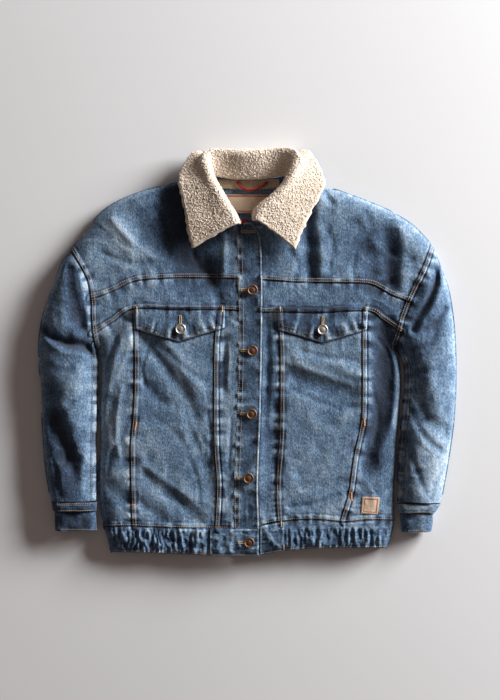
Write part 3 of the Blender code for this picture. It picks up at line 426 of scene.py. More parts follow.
# ------------------------------------------------------------------ shared shape
BODY_EDGES = [smooth_line(table[side], 4) for table in (SHOULDER, SIDE, HEM_SIDE) for side in "LR"]
SLEEVE_EDGES = [smooth_line(table[side], 4) for table in (SLEEVE_OUTER, SLEEVE_INNER) for side in "LR"]
ARMHOLE_LINES = {side: smooth_line(ARMHOLE[side], 4) for side in "LR"}
HEM_LINE = np.vstack([smooth_line(HEM_BOTTOM["L"], 4), smooth_line(HEM_BOTTOM["R"], 4)[::-1]])
FOLD_TABLES = (-FOLD_SHARE, TROUGH_SPREAD, TROUGHS), (FOLD_SHARE, RIDGE_SPREAD, RIDGES)
FOLD_LINES = [(share * height, spread * width, smooth_line(line, 4))
              for share, spread, table in FOLD_TABLES for height, width, line in table]
CREASE_LINES = [(-depth, width, smooth_line(line, 4)) for depth, width, line in CREASES]
SEAM_LINES = [(name, smooth_line(line, 8), side, rows, thread, pucker)
              for name, line, side, rows, thread, pucker in SEAMS]


def edge_distance(points, edges):
    best = np.full(len(points), 1e9)
    for line in edges:
        best = np.minimum(best, nearest(points, line)[0])
    return np.maximum(0, best - SEAM_GAP / 2)


def folded(points, lines):
    """Sum of soft troughs and ridges that fade out towards their own ends."""
    lift = np.zeros(len(points))
    for height, width, line in lines:
        close = near_box(points, line, 3 * width)
        if len(close):
            gap, _, _ = nearest(points[close], line)
            lift[close] += height * bell(gap, width)
    return lift


def sleeve_side(points):
    """How far out past the armhole a plan point is; negative over the body."""
    outward = np.full(len(points), -1e9)
    for side, sign in (("L", -1), ("R", 1)):
        line = ARMHOLE_LINES[side]
        border = np.interp(points[:, 1], line[::-1, 1], line[::-1, 0])
        outward = np.maximum(outward, sign * (points[:, 0] - border))
    return outward


def cloth_top(points):
    """Height of the outer face of front and sleeves, as in the solids."""
    rim = edge_distance(points, BODY_EDGES + SLEEVE_EDGES)
    outward = sleeve_side(points)
    sleeve = eased((outward - SLEEVE_START) / SLEEVE_RISE)
    height = BODY_HEIGHT + (SLEEVE_HEIGHT - BODY_HEIGHT) * sleeve
    reach = BODY_ROUND + (SLEEVE_ROUND - BODY_ROUND) * sleeve
    full = rounding(rim / reach)
    hem_gap = nearest(points, HEM_LINE)[0]
    hem = np.where(outward > 2, 1.0, 0.5 + 0.5 * rounding(hem_gap / HEM_ROUND))
    crown = (height - SEAM_TOP) * full * hem
    calm = eased((rim - 3) / 12) * eased((crown - 3) / 6)
    return SEAM_TOP + crown + folded(points, FOLD_LINES) * calm


def cloth_under(points):
    """Height of the outer, lower face of back and under sleeves."""
    rim = edge_distance(points, BODY_EDGES + SLEEVE_EDGES)
    return SEAM_UNDER * (1 - rounding(rim / UNDER_ROUND))


HEM_FELLING = 0.25      # how much of a band shows at the hem's seam
SEAM_REACH = 32         # beyond this a seam changes nothing


def seam_relief(points, lines=SEAM_LINES):
    """Height, wear and painted shade that the seams give the cloth near them.

    A slow and a quick beat run along each seam: they pucker it and rub its ridges pale.
    """
    lift, wear = np.zeros(len(points)), np.zeros(len(points))
    for number, (name, line, side, rows, _, pucker) in enumerate(lines):
        felled = HEM_FELLING if name.startswith("hem") else 1.0
        close = near_box(points, line, SEAM_REACH)
        if not len(close):
            continue
        gap, hand, place = nearest(points[close], line)
        inside = gap * hand * side            # positive over the band
        # The band is raised, its rows of stitches sink in, and the cloth beside it is pulled down
        band = eased((inside + 0.1) / 0.35) * (1 - eased((inside - BAND + 1.5) / 2.5))
        slow, quick = noise_line(place, 8.5, number), noise_line(place, 4.4, number + 40)
        beat = slow + 0.6 * quick
        reach = bell(gap, 10.0)
        out_of_line = 1.9 * pucker * (slow + 0.15 * quick) * reach
        groove = sum(bell(inside, 0.8, row) for row in rows)
        dip = bell(inside, 1.5, -0.8) + 0.5 * bell(inside - BAND, 1.6, 0.8)
        lift[close] += felled * BAND_RISE * band + out_of_line - 0.3 * groove - STEP_DIP * dip
        # Ridges of the puckers and the free edge of the band are rubbed pale
        rubbed = eased((beat + 0.1) / 0.55) * bell(gap, 9.0)
        edge = bell(inside, 0.7, 0.3)
        # Painted shade: dark lines beside both edges of the band, at the foot of its step, where the step
        # throws its shadow
        shade = (1.4 * bell(inside, 1.05, -0.9)
                 + 0.8 * felled * bell(inside - BAND, 0.9, 0.4))
        valley = eased(-(beat + 0.05) / 0.5) * bell(gap, 10.0)
        middle = sum(bell(inside - row, 0.8, 1.3) for row in rows)
        wear[close] += (0.75 * rubbed + 0.3 * edge * (0.5 + 0.5 * beat) - shade - 0.65 * valley
                        - felled * (0.2 * band + 0.3 * middle))
    return lift, wear


FADE = [
    # pieces that the wash took less from, or more: change of wear
    ("hem_", -0.26), ("cuff_L", -0.55), ("inner_cuff_L", -0.7), ("cuff_R", 0.15), ("inner_cuff_R", -0.05),
    ("pocket_flap", -0.42), ("placket", -0.30), ("chest_strip", -0.14), ("back_panel", -0.1),
]


WASH_AND_SHADE = [
    # patches made darker or paler: some where the wash took more or less, most painted shadow and light (the
    # collar's shadow on the left yoke, the right sleeve's on the right side, shade on the left sleeve and in
    # its elbow crease, light on the lower right sleeve): middle x and y, reach across and along, change of
    # wear
    (-92, 200, 44, 56, -0.62), (-288, 96, 18, 56, -0.45), (-288, 12, 34, 9, -0.7),
    (-302, -180, 34, 60, -0.3), (208, 150, 30, 44, -0.12), (222, -70, 22, 120, -0.5),
    (300, 88, 14, 46, -0.4), (242, 160, 12, 46, -0.2), (306, -190, 34, 66, 0.5),
    (-222, -60, 24, 120, 0.22), (-205, 170, 46, 40, 0.15), (34, -60, 16, 150, -0.15),
    (296, 10, 30, 50, -0.15), (-220, -180, 24, 60, 0.15), (110, -20, 60, 30, 0.18),
    (-32, -60, 10, 160, 0.22),
]


def washed_and_shaded(points):
    """Change of wear and painted light and shade at plan points."""
    out = np.zeros(len(points))
    for x, y, wide, tall, change in WASH_AND_SHADE:
        out += change * np.exp(-((points[:, 0] - x) / wide) ** 2 - ((points[:, 1] - y) / tall) ** 2)
    return out


def fade(name):
    """Change of wear for a whole piece."""
    for start, change in FADE:
        if name.startswith(start):
            return change
    return 0.0


CRUMPLES = (46, 1), (21, 2), (9.5, 4)      # size of the lumps, seed


def fine_cloth(points):
    """Height of the shell's outer face, and its wear and painted shade from -1 (dark) to 1 (pale)."""
    x, y = points[:, 0], points[:, 1]
    rim = edge_distance(points, BODY_EDGES + SLEEVE_EDGES)
    calm = eased((rim - 1.5) / 14)
    sleeve = eased(sleeve_side(points) / 12)
    big, middle, small = (crumple(x, y, size, seed) for size, seed in CRUMPLES)
    creases = folded(points, CREASE_LINES)
    lumps = (0.75 + 0.35 * sleeve) * big + 0.42 * middle + 0.16 * small
    seam_lift, seam_wear = seam_relief(points)
    lift = calm * (lumps + creases) + (0.35 + 0.65 * eased(rim / 6)) * seam_lift
    # What stands out is rubbed pale: lumps, folds, and the rim of the garment; the creases and folds also
    # paint shade into their own troughs, darker the deeper they are
    rubbed = 0.16 * big + 0.13 * middle + 0.10 * small + 0.12 * creases
    rubbed += 0.035 * folded(points, FOLD_LINES)
    rubbed += 0.2 * bell(rim, 5.0, 2) * (1 - eased((rim - 8) / 8))
    # The cloth just outside a flap's free edge dips, and the flap's shadow on it is painted as a dark line
    for flap in FLAPS.values():
        gap, hand, _ = nearest(points, np.array(flap["low"], float))
        below = np.where(hand > 0, 9 * gap, gap)
        lift = lift - 1.2 * bell(below, 2.6)
        seam_wear = seam_wear - 1.4 * bell(below, 2.2)
    return cloth_top(points) + lift, np.clip(rubbed + seam_wear + washed_and_shaded(points), -1, 1)


def normals(points, height, step=0.5):
    dx = (height(points + (step, 0)) - height(points - (step, 0))) / (2 * step)
    dy = (height(points + (0, step)) - height(points - (0, step))) / (2 * step)
    return unit(np.stack([-dx, -dy, np.ones(len(points))], axis=1))


# ------------------------------------------------------------------ meshes
PIECES = {}


def patch(bottom, top, left, right):
    """Plan grid between four edges that share their corners, rows by columns."""
    fraction = lambda line: lengths(line) / lengths(line)[-1]
    u = ((fraction(bottom) + fraction(top)) / 2)[None, :, None]
    v = ((fraction(left) + fraction(right)) / 2)[:, None, None]
    ruled_v = (1 - v) * bottom[None] + v * top[None]
    ruled_u = (1 - u) * left[:, None] + u * right[:, None]
    corners = ((1 - u) * (1 - v) * bottom[0] + u * (1 - v) * bottom[-1]
               + (1 - u) * v * top[0] + u * v * top[-1])
    return ruled_v + ruled_u - corners


def linked(name, data):
    obj = bpy.data.objects.new(name, data)
    bpy.context.scene.collection.objects.link(obj)
    return obj


def mesh_piece(name, verts, faces, looks, replaces=None, smooth=50):
    """Object from millimetre points, its faces all of one kind, that rides on the one body."""
    verts = (np.asarray(verts, float) + PLAN_SHIFT) * MM
    mesh = bpy.data.meshes.new(name)
    faces = np.asarray(faces)
    mesh.vertices.add(len(verts))
    mesh.vertices.foreach_set("co", verts.astype(np.float32).ravel())
    corners = faces.shape[1]
    mesh.loops.add(faces.size)
    mesh.loops.foreach_set("vertex_index", faces.astype(np.int32).ravel())
    mesh.polygons.add(len(faces))
    mesh.polygons.foreach_set("loop_start", np.arange(0, faces.size, corners, dtype=np.int32))
    mesh.update(calc_edges=True)
    mesh.validate()
    mesh.shade_smooth()
    if smooth:
        mesh.set_sharp_from_angle(angle=math.radians(smooth))
    for look in looks if isinstance(looks, (list, tuple)) else [looks]:
        mesh.materials.append(look)
    obj = linked(name, mesh)
    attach(obj, BODY)
    if replaces:
        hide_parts(replaces)
    PIECES[name] = obj
    return obj


def paint(obj, **values):
    """Float attributes, one value a vertex."""
    for name, value in values.items():
        layer = obj.data.attributes.new(name, "FLOAT", "POINT")
        layer.data.foreach_set("value", np.asarray(value, np.float32).ravel())


def grain(obj, along_warp):
    """Cloth coordinates in metres, with +Y along the warp, for the weave."""
    layer = obj.data.attributes.new("grain", "FLOAT_VECTOR", "POINT")
    layer.data.foreach_set("vector", (np.asarray(along_warp) * MM).astype(np.float32).ravel())


def shell_faces(rows, cols):
    """Quads of a closed wall between two grids of the same size."""
    index = np.arange(rows * cols).reshape(rows, cols)
    a, b, c, d = index[:-1, :-1], index[:-1, 1:], index[1:, 1:], index[1:, :-1]
    top = np.stack([a, b, c, d], axis=-1).reshape(-1, 4)
    base = rows * cols
    under = np.stack([base + d, base + c, base + b, base + a], axis=-1).reshape(-1, 4)
    border = np.concatenate([index[0, :], index[1:, -1], index[-1, -2::-1], index[-2:0:-1, 0]])
    after = np.roll(border, -1)
    rim = np.stack([after, border, base + border, base + after], axis=-1)
    return np.vstack([top, under, rim])


def turned(way, angle=0.0):
    """Cloth coordinates of plan points for a warp that leans by an angle."""
    c, s = math.cos(angle), math.sin(angle)
    x, y = way[:, 0], way[:, 1]
    return np.stack([x * c + y * s, -x * s + y * c, np.zeros(len(way))], axis=1)


def plain_grain(obj, u, v):
    """Cloth coordinates straight from two grids, for both faces of a wall."""
    grain(obj, np.vstack([turned(np.column_stack([u.ravel(), v.ravel()]))] * 2))


def shell(name, grid, look, replaces=None, wall=WALL, lift=0.0, warp=0.0, under=False, extra=None,
          thin=None):
    """Thin closed shell over a plan grid, with the fine cloth form on its outside.

    lift stands it off the cloth below.  extra(points) adds height and wear, with painted shade at the
    sleeves' seams.
    thin is a share of the wall for each point.
    """
    rows, cols = grid.shape[:2]
    flat = grid.reshape(-1, 2)
    if under:
        height = cloth_under(flat)
        wear = 0.25 * crumple(flat[:, 0], flat[:, 1], 30, 6)
        base = normals(flat, cloth_under)
    else:
        height, wear = fine_cloth(flat)
        base = normals(flat, cloth_top, 1.5)
    rim = edge_distance(flat, BODY_EDGES + SLEEVE_EDGES)
    base[:, 2] *= np.clip(rim / RIM_FLAT, 0, 1)
    base = unit(base)
    if extra is not None:
        more, more_wear = extra(flat)
        height = height + more
        wear = np.clip(wear + more_wear, -1, 1)
    face = np.column_stack([flat, height])
    wear = wear + fade(name)
    thick = wall if thin is None else wall * thin.reshape(-1, 1)
    if under:
        outer, inner = face, face + base * thick
    else:
        off = np.broadcast_to(np.asarray(lift, float), (len(flat),))[:, None]
        outer, inner = face + base * off, face + base * (off - thick)
    obj = mesh_piece(name, np.vstack([outer, inner]), shell_faces(rows, cols), look, replaces)
    paint(obj, wear=np.concatenate([wear, wear * 0.3]))
    cloth_way = turned(flat, warp)
    grain(obj, np.vstack([cloth_way, cloth_way]))
    return obj


def cells(length_mm, size=GRID):
    """How many cells of about this size go into a length."""
    return max(2, int(round(length_mm / size)))


# ------------------------------------------------------------------ front of the body
SIDE_SPAN, POCKET_SPAN, INNER_SPAN = 56, 145, 32        # widths, in which cells are counted
PANEL_LONG, STRIP_LONG, YOKE_LONG = 325, 55, 110
STRIP_GRID, POCKET_GRID, INNER_GRID = 1.35, 2.0, 1.4


def armhole_part(side, low_y, high_y, count, crowd=False):
    """Armhole points between two heights, from low to high."""
    up = smooth_line(ARMHOLE[side])[::-1]
    place = lengths(up) / lengths(up)[-1]
    low, high = np.interp([low_y, high_y], up[:, 1], place)
    share = crowded(count) if crowd else even(count)
    return on_line(up, low + (high - low) * share)


def front_blocks(side):
    """Plan grids of one side's front pieces, keyed by piece."""
    pocket_seam, hem_seam = POCKET_SEAM[side], HEM_SEAM[side]
    pocket_y, yoke_y = pocket_seam["side"][0][1], YOKE_SEAM[side][0][1]
    underarm_y, tip_y = ARMHOLE[side][-1][1], ARMHOLE[side][0][1]
    rows, rows_strip, rows_yoke = cells(PANEL_LONG), cells(STRIP_LONG, STRIP_GRID), cells(YOKE_LONG)
    side_line = np.vstack([smooth_line(SIDE[side][::-1]), armhole_part(side, underarm_y, pocket_y, 20)[1:]])
    side_edge = on_line(side_line, hemmed(rows))
    outer, inner = along(OUTER_SEAM[side][::-1], hemmed(rows)), along(INNER_SEAM[side][::-1], hemmed(rows))
    front_line = smooth_line(PLACKET_LEFT if side == "L" else BUTTON_STAND)
    cut = lambda y: np.array([np.interp(y, front_line[::-1, 1], front_line[::-1, 0]), y])
    centre = lambda low, high, share: np.stack([cut(y) for y in low + (high - low) * share])
    join = lambda line, end: np.vstack([np.asarray(line, float)[:-1], end])
    mid_y, hem_y, top_y = pocket_seam["inner"][-1][1], hem_seam["inner"][-1][1], YOKE_SEAM[side][-1][1]
    low_mid, low_hem = join(pocket_seam["inner"], cut(mid_y)), join(hem_seam["inner"], cut(hem_y))
    yoke_low = join(YOKE_SEAM[side], cut(top_y))
    side_cols, inner_cols = cells(SIDE_SPAN, FINE_GRID), cells(INNER_SPAN, INNER_GRID)
    pocket_cols = cells(POCKET_SPAN, POCKET_GRID)

    blocks = {}
    share = crowded(side_cols)
    blocks["side_panel"] = patch(along(hem_seam["side"], share), along(pocket_seam["side"], share),
                                 side_edge, outer)
    share = hemmed(pocket_cols)
    blocks["pocket_panel"] = patch(along(hem_seam["pocket"], share), along(pocket_seam["pocket"], share),
                                   outer, inner)
    share = even(inner_cols)
    blocks["inner_front"] = patch(along(low_hem, share), along(low_mid, share), inner,
                                  centre(hem_y, mid_y, hemmed(rows)))
    strip_low = np.vstack([along(pocket_seam["side"], crowded(side_cols)),
                           along(pocket_seam["pocket"], hemmed(pocket_cols))[1:], along(low_mid, share)[1:]])
    columns = len(strip_low) - 1
    yoke_cols = along(yoke_low, even(columns))
    blocks["chest_strip"] = patch(strip_low, yoke_cols, armhole_part(side, pocket_y, yoke_y, rows_strip),
                                  centre(mid_y, top_y, even(rows_strip)))
    neck_line = np.vstack([smooth_line(NECK_FRONT[side])[:-1], cut(NECK_FRONT[side][-1][1])])
    down_front = np.vstack([neck_line, cut(top_y)])
    blocks["yoke"] = patch(yoke_cols, along(SHOULDER[side], crowded(columns, at_end=False)),
                           armhole_part(side, yoke_y, tip_y, rows_yoke, crowd=True),
                           on_line(down_front[::-1], crowded(rows_yoke)))
    return blocks


WARP_LEAN = {"yoke": 0.0, "chest_strip": 0.0, "inner_front": 0.02, "pocket_panel": 0.0, "side_panel": 0.03}
UNDER_LAP = ("yoke", "chest_strip", "inner_front")      # right pieces that run on under the placket


def body_front():
    for side, sign in (("L", 1), ("R", -1)):
        for piece, grid in front_blocks(side).items():
            lower = under_placket if side == "R" and piece in UNDER_LAP else None
            obj = shell(f"{piece}_{side}.cloth", grid, DENIM, f"{piece}_{side}", warp=sign * WARP_LEAN[piece],
                        extra=lower)


# ------------------------------------------------------------------ stitches
STITCH_SIDES = 5
THREAD_FLAT = 1.15      # a stitch is this much wider than it is high
STITCH_RINGS = (
    # place along it, radius, rise in thread widths
    (-0.5, 0.0, -0.35), (-0.4, 0.75, -0.02), (-0.16, 1.0, 0.2), (0.16, 1.0, 0.2), (0.4, 0.75, -0.02),
    (0.5, 0.0, -0.35),
)
STITCHES = {}           # thread and group: runs of starts, middles and ends, with their surface


def stitch_run(group, line, surface, offset=0.0, side=1, pitch=STITCH_PITCH, length=STITCH_LENGTH):
    """Remember a row of stitches at an offset to one side of a plan line."""
    total = lengths(line)[-1]
    count = int(total / pitch)
    if count < 1:
        return
    place = (np.arange(count) + 0.5) / count
    half = length / 2 / total
    spots = []
    for at in (place - half, place, place + half):
        here = on_line(line, at)
        way = unit(on_line(line, at + 1e-3) - on_line(line, at - 1e-3), 1e-9)
        across = np.stack([-way[:, 1], way[:, 0]], axis=1) * side
        spots.append(here + across * offset)
    STITCHES.setdefault(group, []).append((spots, surface))


def stitch_faces():
    """Triangles of one stitch: a tip, four rings and the other tip."""
    ring = 1 + np.arange(4 * STITCH_SIDES).reshape(4, STITCH_SIDES)
    after = np.roll(ring, -1, axis=1)
    first, last = np.zeros_like(ring[0]), np.full_like(ring[0], ring[-1, -1] + 1)
    bands = ((first, after[0], ring[0]), (ring[:-1], after[:-1], after[1:]),
             (ring[:-1], after[1:], ring[1:]), (ring[-1], after[-1], last))
    return np.vstack([np.stack(band, axis=-1).reshape(-1, 3) for band in bands])


def build_stitches():
    """One joined mesh for each thread and group of seams."""
    spin = full_turn(STITCH_SIDES)[None, :, None]
    local = stitch_faces()
    for group, runs in STITCHES.items():
        verts = []
        for (start, middle, end), surface in runs:
            heights = surface(np.vstack([start, middle, end])).reshape(3, -1)
            a, b = np.column_stack([start, heights[0]]), np.column_stack([end, heights[2]])
            centre = np.column_stack([middle, np.maximum(heights[1], (heights[0] + heights[2]) / 2)])[:, None]
            size = np.linalg.norm(b - a, axis=1)[:, None, None]
            way = unit(b - a, 1e-6)
            across = unit(np.cross(way, (0, 0, 1.0)), 1e-6)
            up = np.cross(across, way)[:, None]
            way, across = way[:, None], across[:, None]
            rings = []
            for place, radius, rise in STITCH_RINGS:
                at = centre + way * size * place + up * STITCH_WIDTH * rise
                swell = np.cos(spin) * across * THREAD_FLAT + np.sin(spin) * up
                rings.append(at + STITCH_WIDTH / 2 * radius * swell if radius else at)
            verts.append(np.concatenate(rings, axis=1))
        verts = np.concatenate(verts)
        faces = np.arange(len(verts))[:, None, None] * verts.shape[1] + local[None]
        mesh_piece(f"stitches_{group.replace('.', '_')}", verts.reshape(-1, 3), faces.reshape(-1, 3),
                   THREADS[group.split(".")[0]], smooth=0)


def front_surface(points):
    return fine_cloth(points)[0]


def raised(relief, lift=0.0):
    """Surface of a piece whose relief goes on top of the front's."""
    return lambda points: front_surface(points) + relief(points)[0] + lift


def seam_stitches():
    """Rows along every lapped seam, on the band's side."""
    for name, line, side, rows, thread, _ in SEAM_LINES:
        for row in rows:
            stitch_run(f"{thread}.{name}", line, front_surface, row, side)


# ------------------------------------------------------------------ placket
PLACKET_LIFT = 3.2         # at its free edge, above the right front
UNDER_PLACKET = 3.0        # how much lower the button stand lies
PLACKET_LONG, PLACKET_WIDE = 500, 42
PLACKET_SEAM = smooth_line(PLACKET_LEFT)
PLACKET_EDGE = smooth_line(PLACKET_RIGHT)
PLACKET_RIM = smooth_line([(-17, 207), (-4, 209)] + PLACKET_RIGHT)
PLACKET_ROWS = [
    # line, offset, side
    (PLACKET_SEAM, 2.0, 1), (PLACKET_SEAM, 8.0, 1), (PLACKET_EDGE, 2.4, -1),
]


def placket_relief(points):
    """Lift over the right front, a soft rolled edge, and puckers along both edges."""
    gap_left, _, place_left = nearest(points, PLACKET_SEAM)
    gap_right, _, place_right = nearest(points, PLACKET_RIM)
    lift = PLACKET_LIFT * gap_left / (gap_left + gap_right)
    beat_left = noise_line(place_left, 9.0, 90) + 0.5 * noise_line(place_left, 4.6, 91)
    beat_right = noise_line(place_right, 12.0, 92) + 0.5 * noise_line(place_right, 5.5, 93)
    roll = 0.8 * (1 - rounding(gap_right / 2.4))
    across = crumple(points[:, 0] * 0.6, points[:, 1], 24, 33)
    # A cord of turned cloth runs along the free edge, and both edges pucker
    near_left, near_right = bell(gap_left, 9), bell(gap_right, 8)
    cord = 0.5 * bell(gap_right, 1.0, 1.2)
    lift = lift - roll + cord + 1.8 * beat_left * near_left + 1.5 * beat_right * near_right + 0.7 * across
    wear = (1.05 * bell(gap_right, 1.6, 0.6) * (0.75 + 0.25 * beat_right)
            - 0.5 * bell(gap_right, 0.9, 3.4) + 0.3 * eased(beat_right) * near_right
            + 1.1 * (eased((beat_left + 0.35) / 0.8) - 0.45) * near_left
            + 0.5 * bell(gap_left, 1.0) + 0.2 * across)
    return lift, wear


def under_placket(points):
    """The right front's button stand lies lower, under the placket."""
    border = np.interp(points[:, 1], PLACKET_EDGE[::-1, 1], PLACKET_EDGE[::-1, 0])
    inside = border - points[:, 0]
    return -UNDER_PLACKET * eased((inside + 1.5) / 5.0), np.zeros(len(points))


PLACKET_SURFACE = raised(placket_relief)


def placket():
    rows, cols = cells(PLACKET_LONG), even(cells(PLACKET_WIDE, FINE_GRID))
    grid = patch(along([(-21, -289.6), (20, -289.6)], cols), along([(-17, 206), (0, 210), (11, 206)], cols),
                 along(PLACKET_LEFT[::-1], even(rows)), along(PLACKET_RIGHT[::-1], even(rows)))
    obj = shell("placket.cloth", grid, DENIM, "placket", extra=placket_relief, wall=LAPPED_WALL)
    for line, row, side in PLACKET_ROWS:
        stitch_run("tan.placket", line, PLACKET_SURFACE, row, side)


# ------------------------------------------------------------------ hem band
RUCHES = 17             # waves along each gathered stretch
RUCHE_DEPTH = 3.0
HEM_DEEP, HEM_WIDE = 45, 175
HEM_GRID, GATHER_GRID = 1.6, 1.25
HEM_ROW = 2.6           # of stitches, from the lower edge
CROSSWAYS = math.pi / 2  # the hem's warp runs along it
GATHER_START = {"L": (-231, -62), "R": (62, 236)}
HEM_TABS = {"L": ((-60, -290), (19.5, -291), (-60, -335), (19.5, -336)),
            "R": ((22, -286), (61, -279), (22, -335), (60, -328))}
HEM_UPPER = {"L": [(-235, -287.4), (-188, -286.4), (-120, -289.4), (-60, -290)],
             "R": [(61, -279), (106, -275.4), (160, -279.4), (195, -276.4), (241, -277.4)]}
HEM_LOWER = {"L": [(-223, -330), (-173, -331), (-112, -333), (-60, -335)],
             "R": [(60, -328), (107, -324), (195, -323), (229, -323)]}


def gathers(side):
    """Relief of a gathered stretch: shallow ruches under a crumple."""
    low, high = GATHER_START[side]

    def relief(points):
        x, y = points[:, 0], points[:, 1]
        t = (x - low) / (high - low)
        across = (y + 331) / 44
        phase = 2 * math.pi * (RUCHES * t + 0.22 * np.sin(2 * math.pi * 2.3 * t) + 0.12 * np.sin(17 * t))
        lean = 0.9 * np.sin(2 * math.pi * 1.7 * t) * (across - 0.5)
        depth = RUCHE_DEPTH * (0.75 + 0.25 * np.sin(9.5 * t + 1)) * eased((across - 0.02) / 0.3)
        fade = eased(t / 0.03) * eased((1 - t) / 0.04) * eased((1.04 - across) / 0.25)
        fade = fade * eased(edge_distance(points, BODY_EDGES) / BODY_ROUND * 2)
        wave = depth * fade * np.sin(phase + 2 * math.pi * lean)
        # Smaller creases cross the ruches, sharper near the seam and the lower edge
        drift = 5.0 * noise(x, y, 30, 53) + 2.5 * noise(x, y, 13, 54)
        streak = noise((x + drift) * 3.2, y * 0.8, 21, 55) + 0.7 * noise((x - drift) * 3.6, y * 1.3, 12, 56)
        cross = crumple(x * 1.5, y * 1.2, 13, 51) + 0.4 * crumple(x * 1.6, y, 7, 52)
        crumpled = 1.9 * streak + 1.0 * cross
        edge = bell(across, 0.07, 0.06) + 0.8 * bell(across, 0.05, 0.97)
        lift = 0.3 * wave + fade * crumpled
        beat = noise_line(x, 6.5, 57)
        return lift, 0.11 * lift + 0.35 * edge * (0.7 + beat) - 0.08 + 0.12 * cross
    return relief


def tab_relief(side):
    """Relief of a plain tab: one fold, worn rim, and the left one's lap over the right."""
    fold = smooth_line([(-45, -333), (-24, -324), (-7, -315)] if side == "L" else [(34, -300), (52, -322)])
    high_a, high_b, low_a, low_b = np.array(HEM_TABS[side], float)
    corners = np.array([high_a, high_b, low_b, low_a, high_a])

    def relief(points):
        gap = nearest(points, fold)[0]
        bump = 1.5 * bell(gap, 4.5)
        x, y = points[:, 0], points[:, 1]
        soft = crumple(x, y * 1.6, 15, 58) + 0.5 * crumple(x * 1.3, y, 8, 59)
        rim = edge_distance(points, [corners])
        worn = 0.75 * bell(rim, 1.2, 0.8) - 0.45 * bell(rim, 1.2, 4.4)
        calm = eased(rim / 5)
        lift = LAP_LIFT * (side == "L") + bump + calm * soft
        return lift, 0.35 * bell(gap, 3.5) + worn + 0.22 * soft
    return relief


def hem_surface(side, part):
    return raised(gathers(side) if part == "gathered" else tab_relief(side))


def hem_band():
    for side in "LR":
        seam_a, seam_b, low_a, low_b = HEM_TABS[side]
        cols, rows = even(cells(seam_b[0] - seam_a[0], HEM_GRID)), even(cells(HEM_DEEP, HEM_GRID))
        grid = patch(along([low_a, low_b], cols), along([seam_a, seam_b], cols),
                     along([low_a, seam_a], rows), along([low_b, seam_b], rows))
        obj = shell(f"hem_tab_{side}.cloth", grid, DENIM, f"hem_tab_{side}", extra=tab_relief(side),
                    warp=CROSSWAYS, wall=LAPPED_WALL)
        cols = even(cells(HEM_WIDE, GATHER_GRID))
        seam, low = along(HEM_UPPER[side], cols), along(HEM_LOWER[side], cols)
        if side == "L":
            left, right = along(HEM_SIDE["L"][::-1], rows), along([low[-1], seam[-1]], rows)
            left[-1], left[0] = seam[0], low[0]
        else:
            left, right = along([low[0], seam[0]], rows), along(HEM_SIDE["R"][::-1], rows)
            right[-1], right[0] = seam[-1], low[-1]
        grid = patch(low, seam, left, right)
        obj = shell(f"hem_gathered_{side}.cloth", grid, DENIM, f"hem_gathered_{side}", extra=gathers(side),
                    warp=CROSSWAYS, wall=UNDER_WALL)
        sign = 1 if side == "L" else -1
        stitch_run(f"tan.hem_{side}_edge", low[::sign], hem_surface(side, "gathered"), HEM_ROW, sign)
        tab_low = along([low_a, low_b], even(12))
        stitch_run(f"tan.hem_{side}_edge", tab_low, hem_surface(side, "tab"), HEM_ROW, 1)
    left, right = along(HEM_SIDE["L"][::-1], even(10)), along(HEM_SIDE["R"][::-1], even(10))
    cols = crowded(130)
    low = along([left[0], (-112, -333), (0, -335.5), (107, -324), right[0]], cols)
    seam = along([left[-1], (-120, -288.6), (0, -288.6), (120, -282.6), right[-1]], cols)
    grid = patch(low, seam, left, right)
    grid[-1, :, 1] -= 0.4           # clear of the back panel
    obj = shell("hem_back.cloth", grid, DENIM, "hem_back", under=True, wall=UNDER_WALL, warp=CROSSWAYS)


# ------------------------------------------------------------------ back and sleeves
SIDE_LONG, ARMHOLE_LONG, ARM_LONG, ARM_WIDE = 297, 180, 255, 92
CAP_THINNING = 0.06     # of the sleeve's width, where its cap runs out to a point
ARM_SHARE = 0.62        # of the outer edge that lies below the armhole
CAP_END = 0.988         # of the outer line, where the cap stops short of its point
SLEEVE_LEAN = 0.12
ARM_ROWS = (3.0, 8.0)


def back_panel():
    rows_side = cells(SIDE_LONG, UNDER_GRID)
    edge = {}
    for side in "LR":
        arm = armhole_part(side, ARMHOLE[side][-1][1], ARMHOLE[side][0][1], cells(ARMHOLE_LONG, UNDER_GRID))
        edge[side] = np.vstack([along(SIDE[side][::-1], even(rows_side)), arm[1:]])
    shoulder = crowded(44, at_end=False)
    top = np.vstack([along(SHOULDER["L"], shoulder), along(BACK_NECK, even(24))[1:-1],
                     along(SHOULDER["R"], shoulder)[::-1]])
    columns = len(top) - 1
    low = along([(-236, -287), (-120, -288), (0, -288), (120, -282), (241, -277)], crowded(columns))
    grid = patch(low, top, edge["L"], edge["R"])
    obj = shell("back_panel.cloth", grid, DENIM, "back_panel", under=True, wall=UNDER_WALL)


def sleeve_grid(side, size):
    """Plan grid of a sleeve, cuff seam first; columns from outer to inner edge."""
    rows_arm, rows_cap = cells(ARM_LONG, size), cells(ARMHOLE_LONG, size)
    armhole = armhole_part(side, ARMHOLE[side][-1][1], ARMHOLE[side][0][1], rows_cap)
    inner = np.vstack([along(SLEEVE_INNER[side][::-1], even(rows_arm)), armhole[1:]])
    outer_line = along(SLEEVE_OUTER[side][::-1], CAP_END * even(600))
    run = lengths(armhole)
    share = np.concatenate([even(rows_arm) * ARM_SHARE, ARM_SHARE + (1 - ARM_SHARE) * run[1:] / run[-1]])
    outer = on_line(outer_line, share)
    cols = crowded(cells(ARM_WIDE, size * 0.8))
    return patch(along([outer[0], inner[0]], cols), along([outer[-1], inner[-1]], cols), outer, inner)


def sleeve_extra(side):
    """Double stitched seam just inside the inner edge."""
    line = smooth_line(SLEEVE_INNER[side])
    sign = 1 if side == "L" else -1

    def relief(points):
        lift, wear = seam_relief(points, [("arm", line, -sign, ARM_ROWS, "tan", 0.6)])
        return 0.7 * lift, 0.8 * wear
    return relief


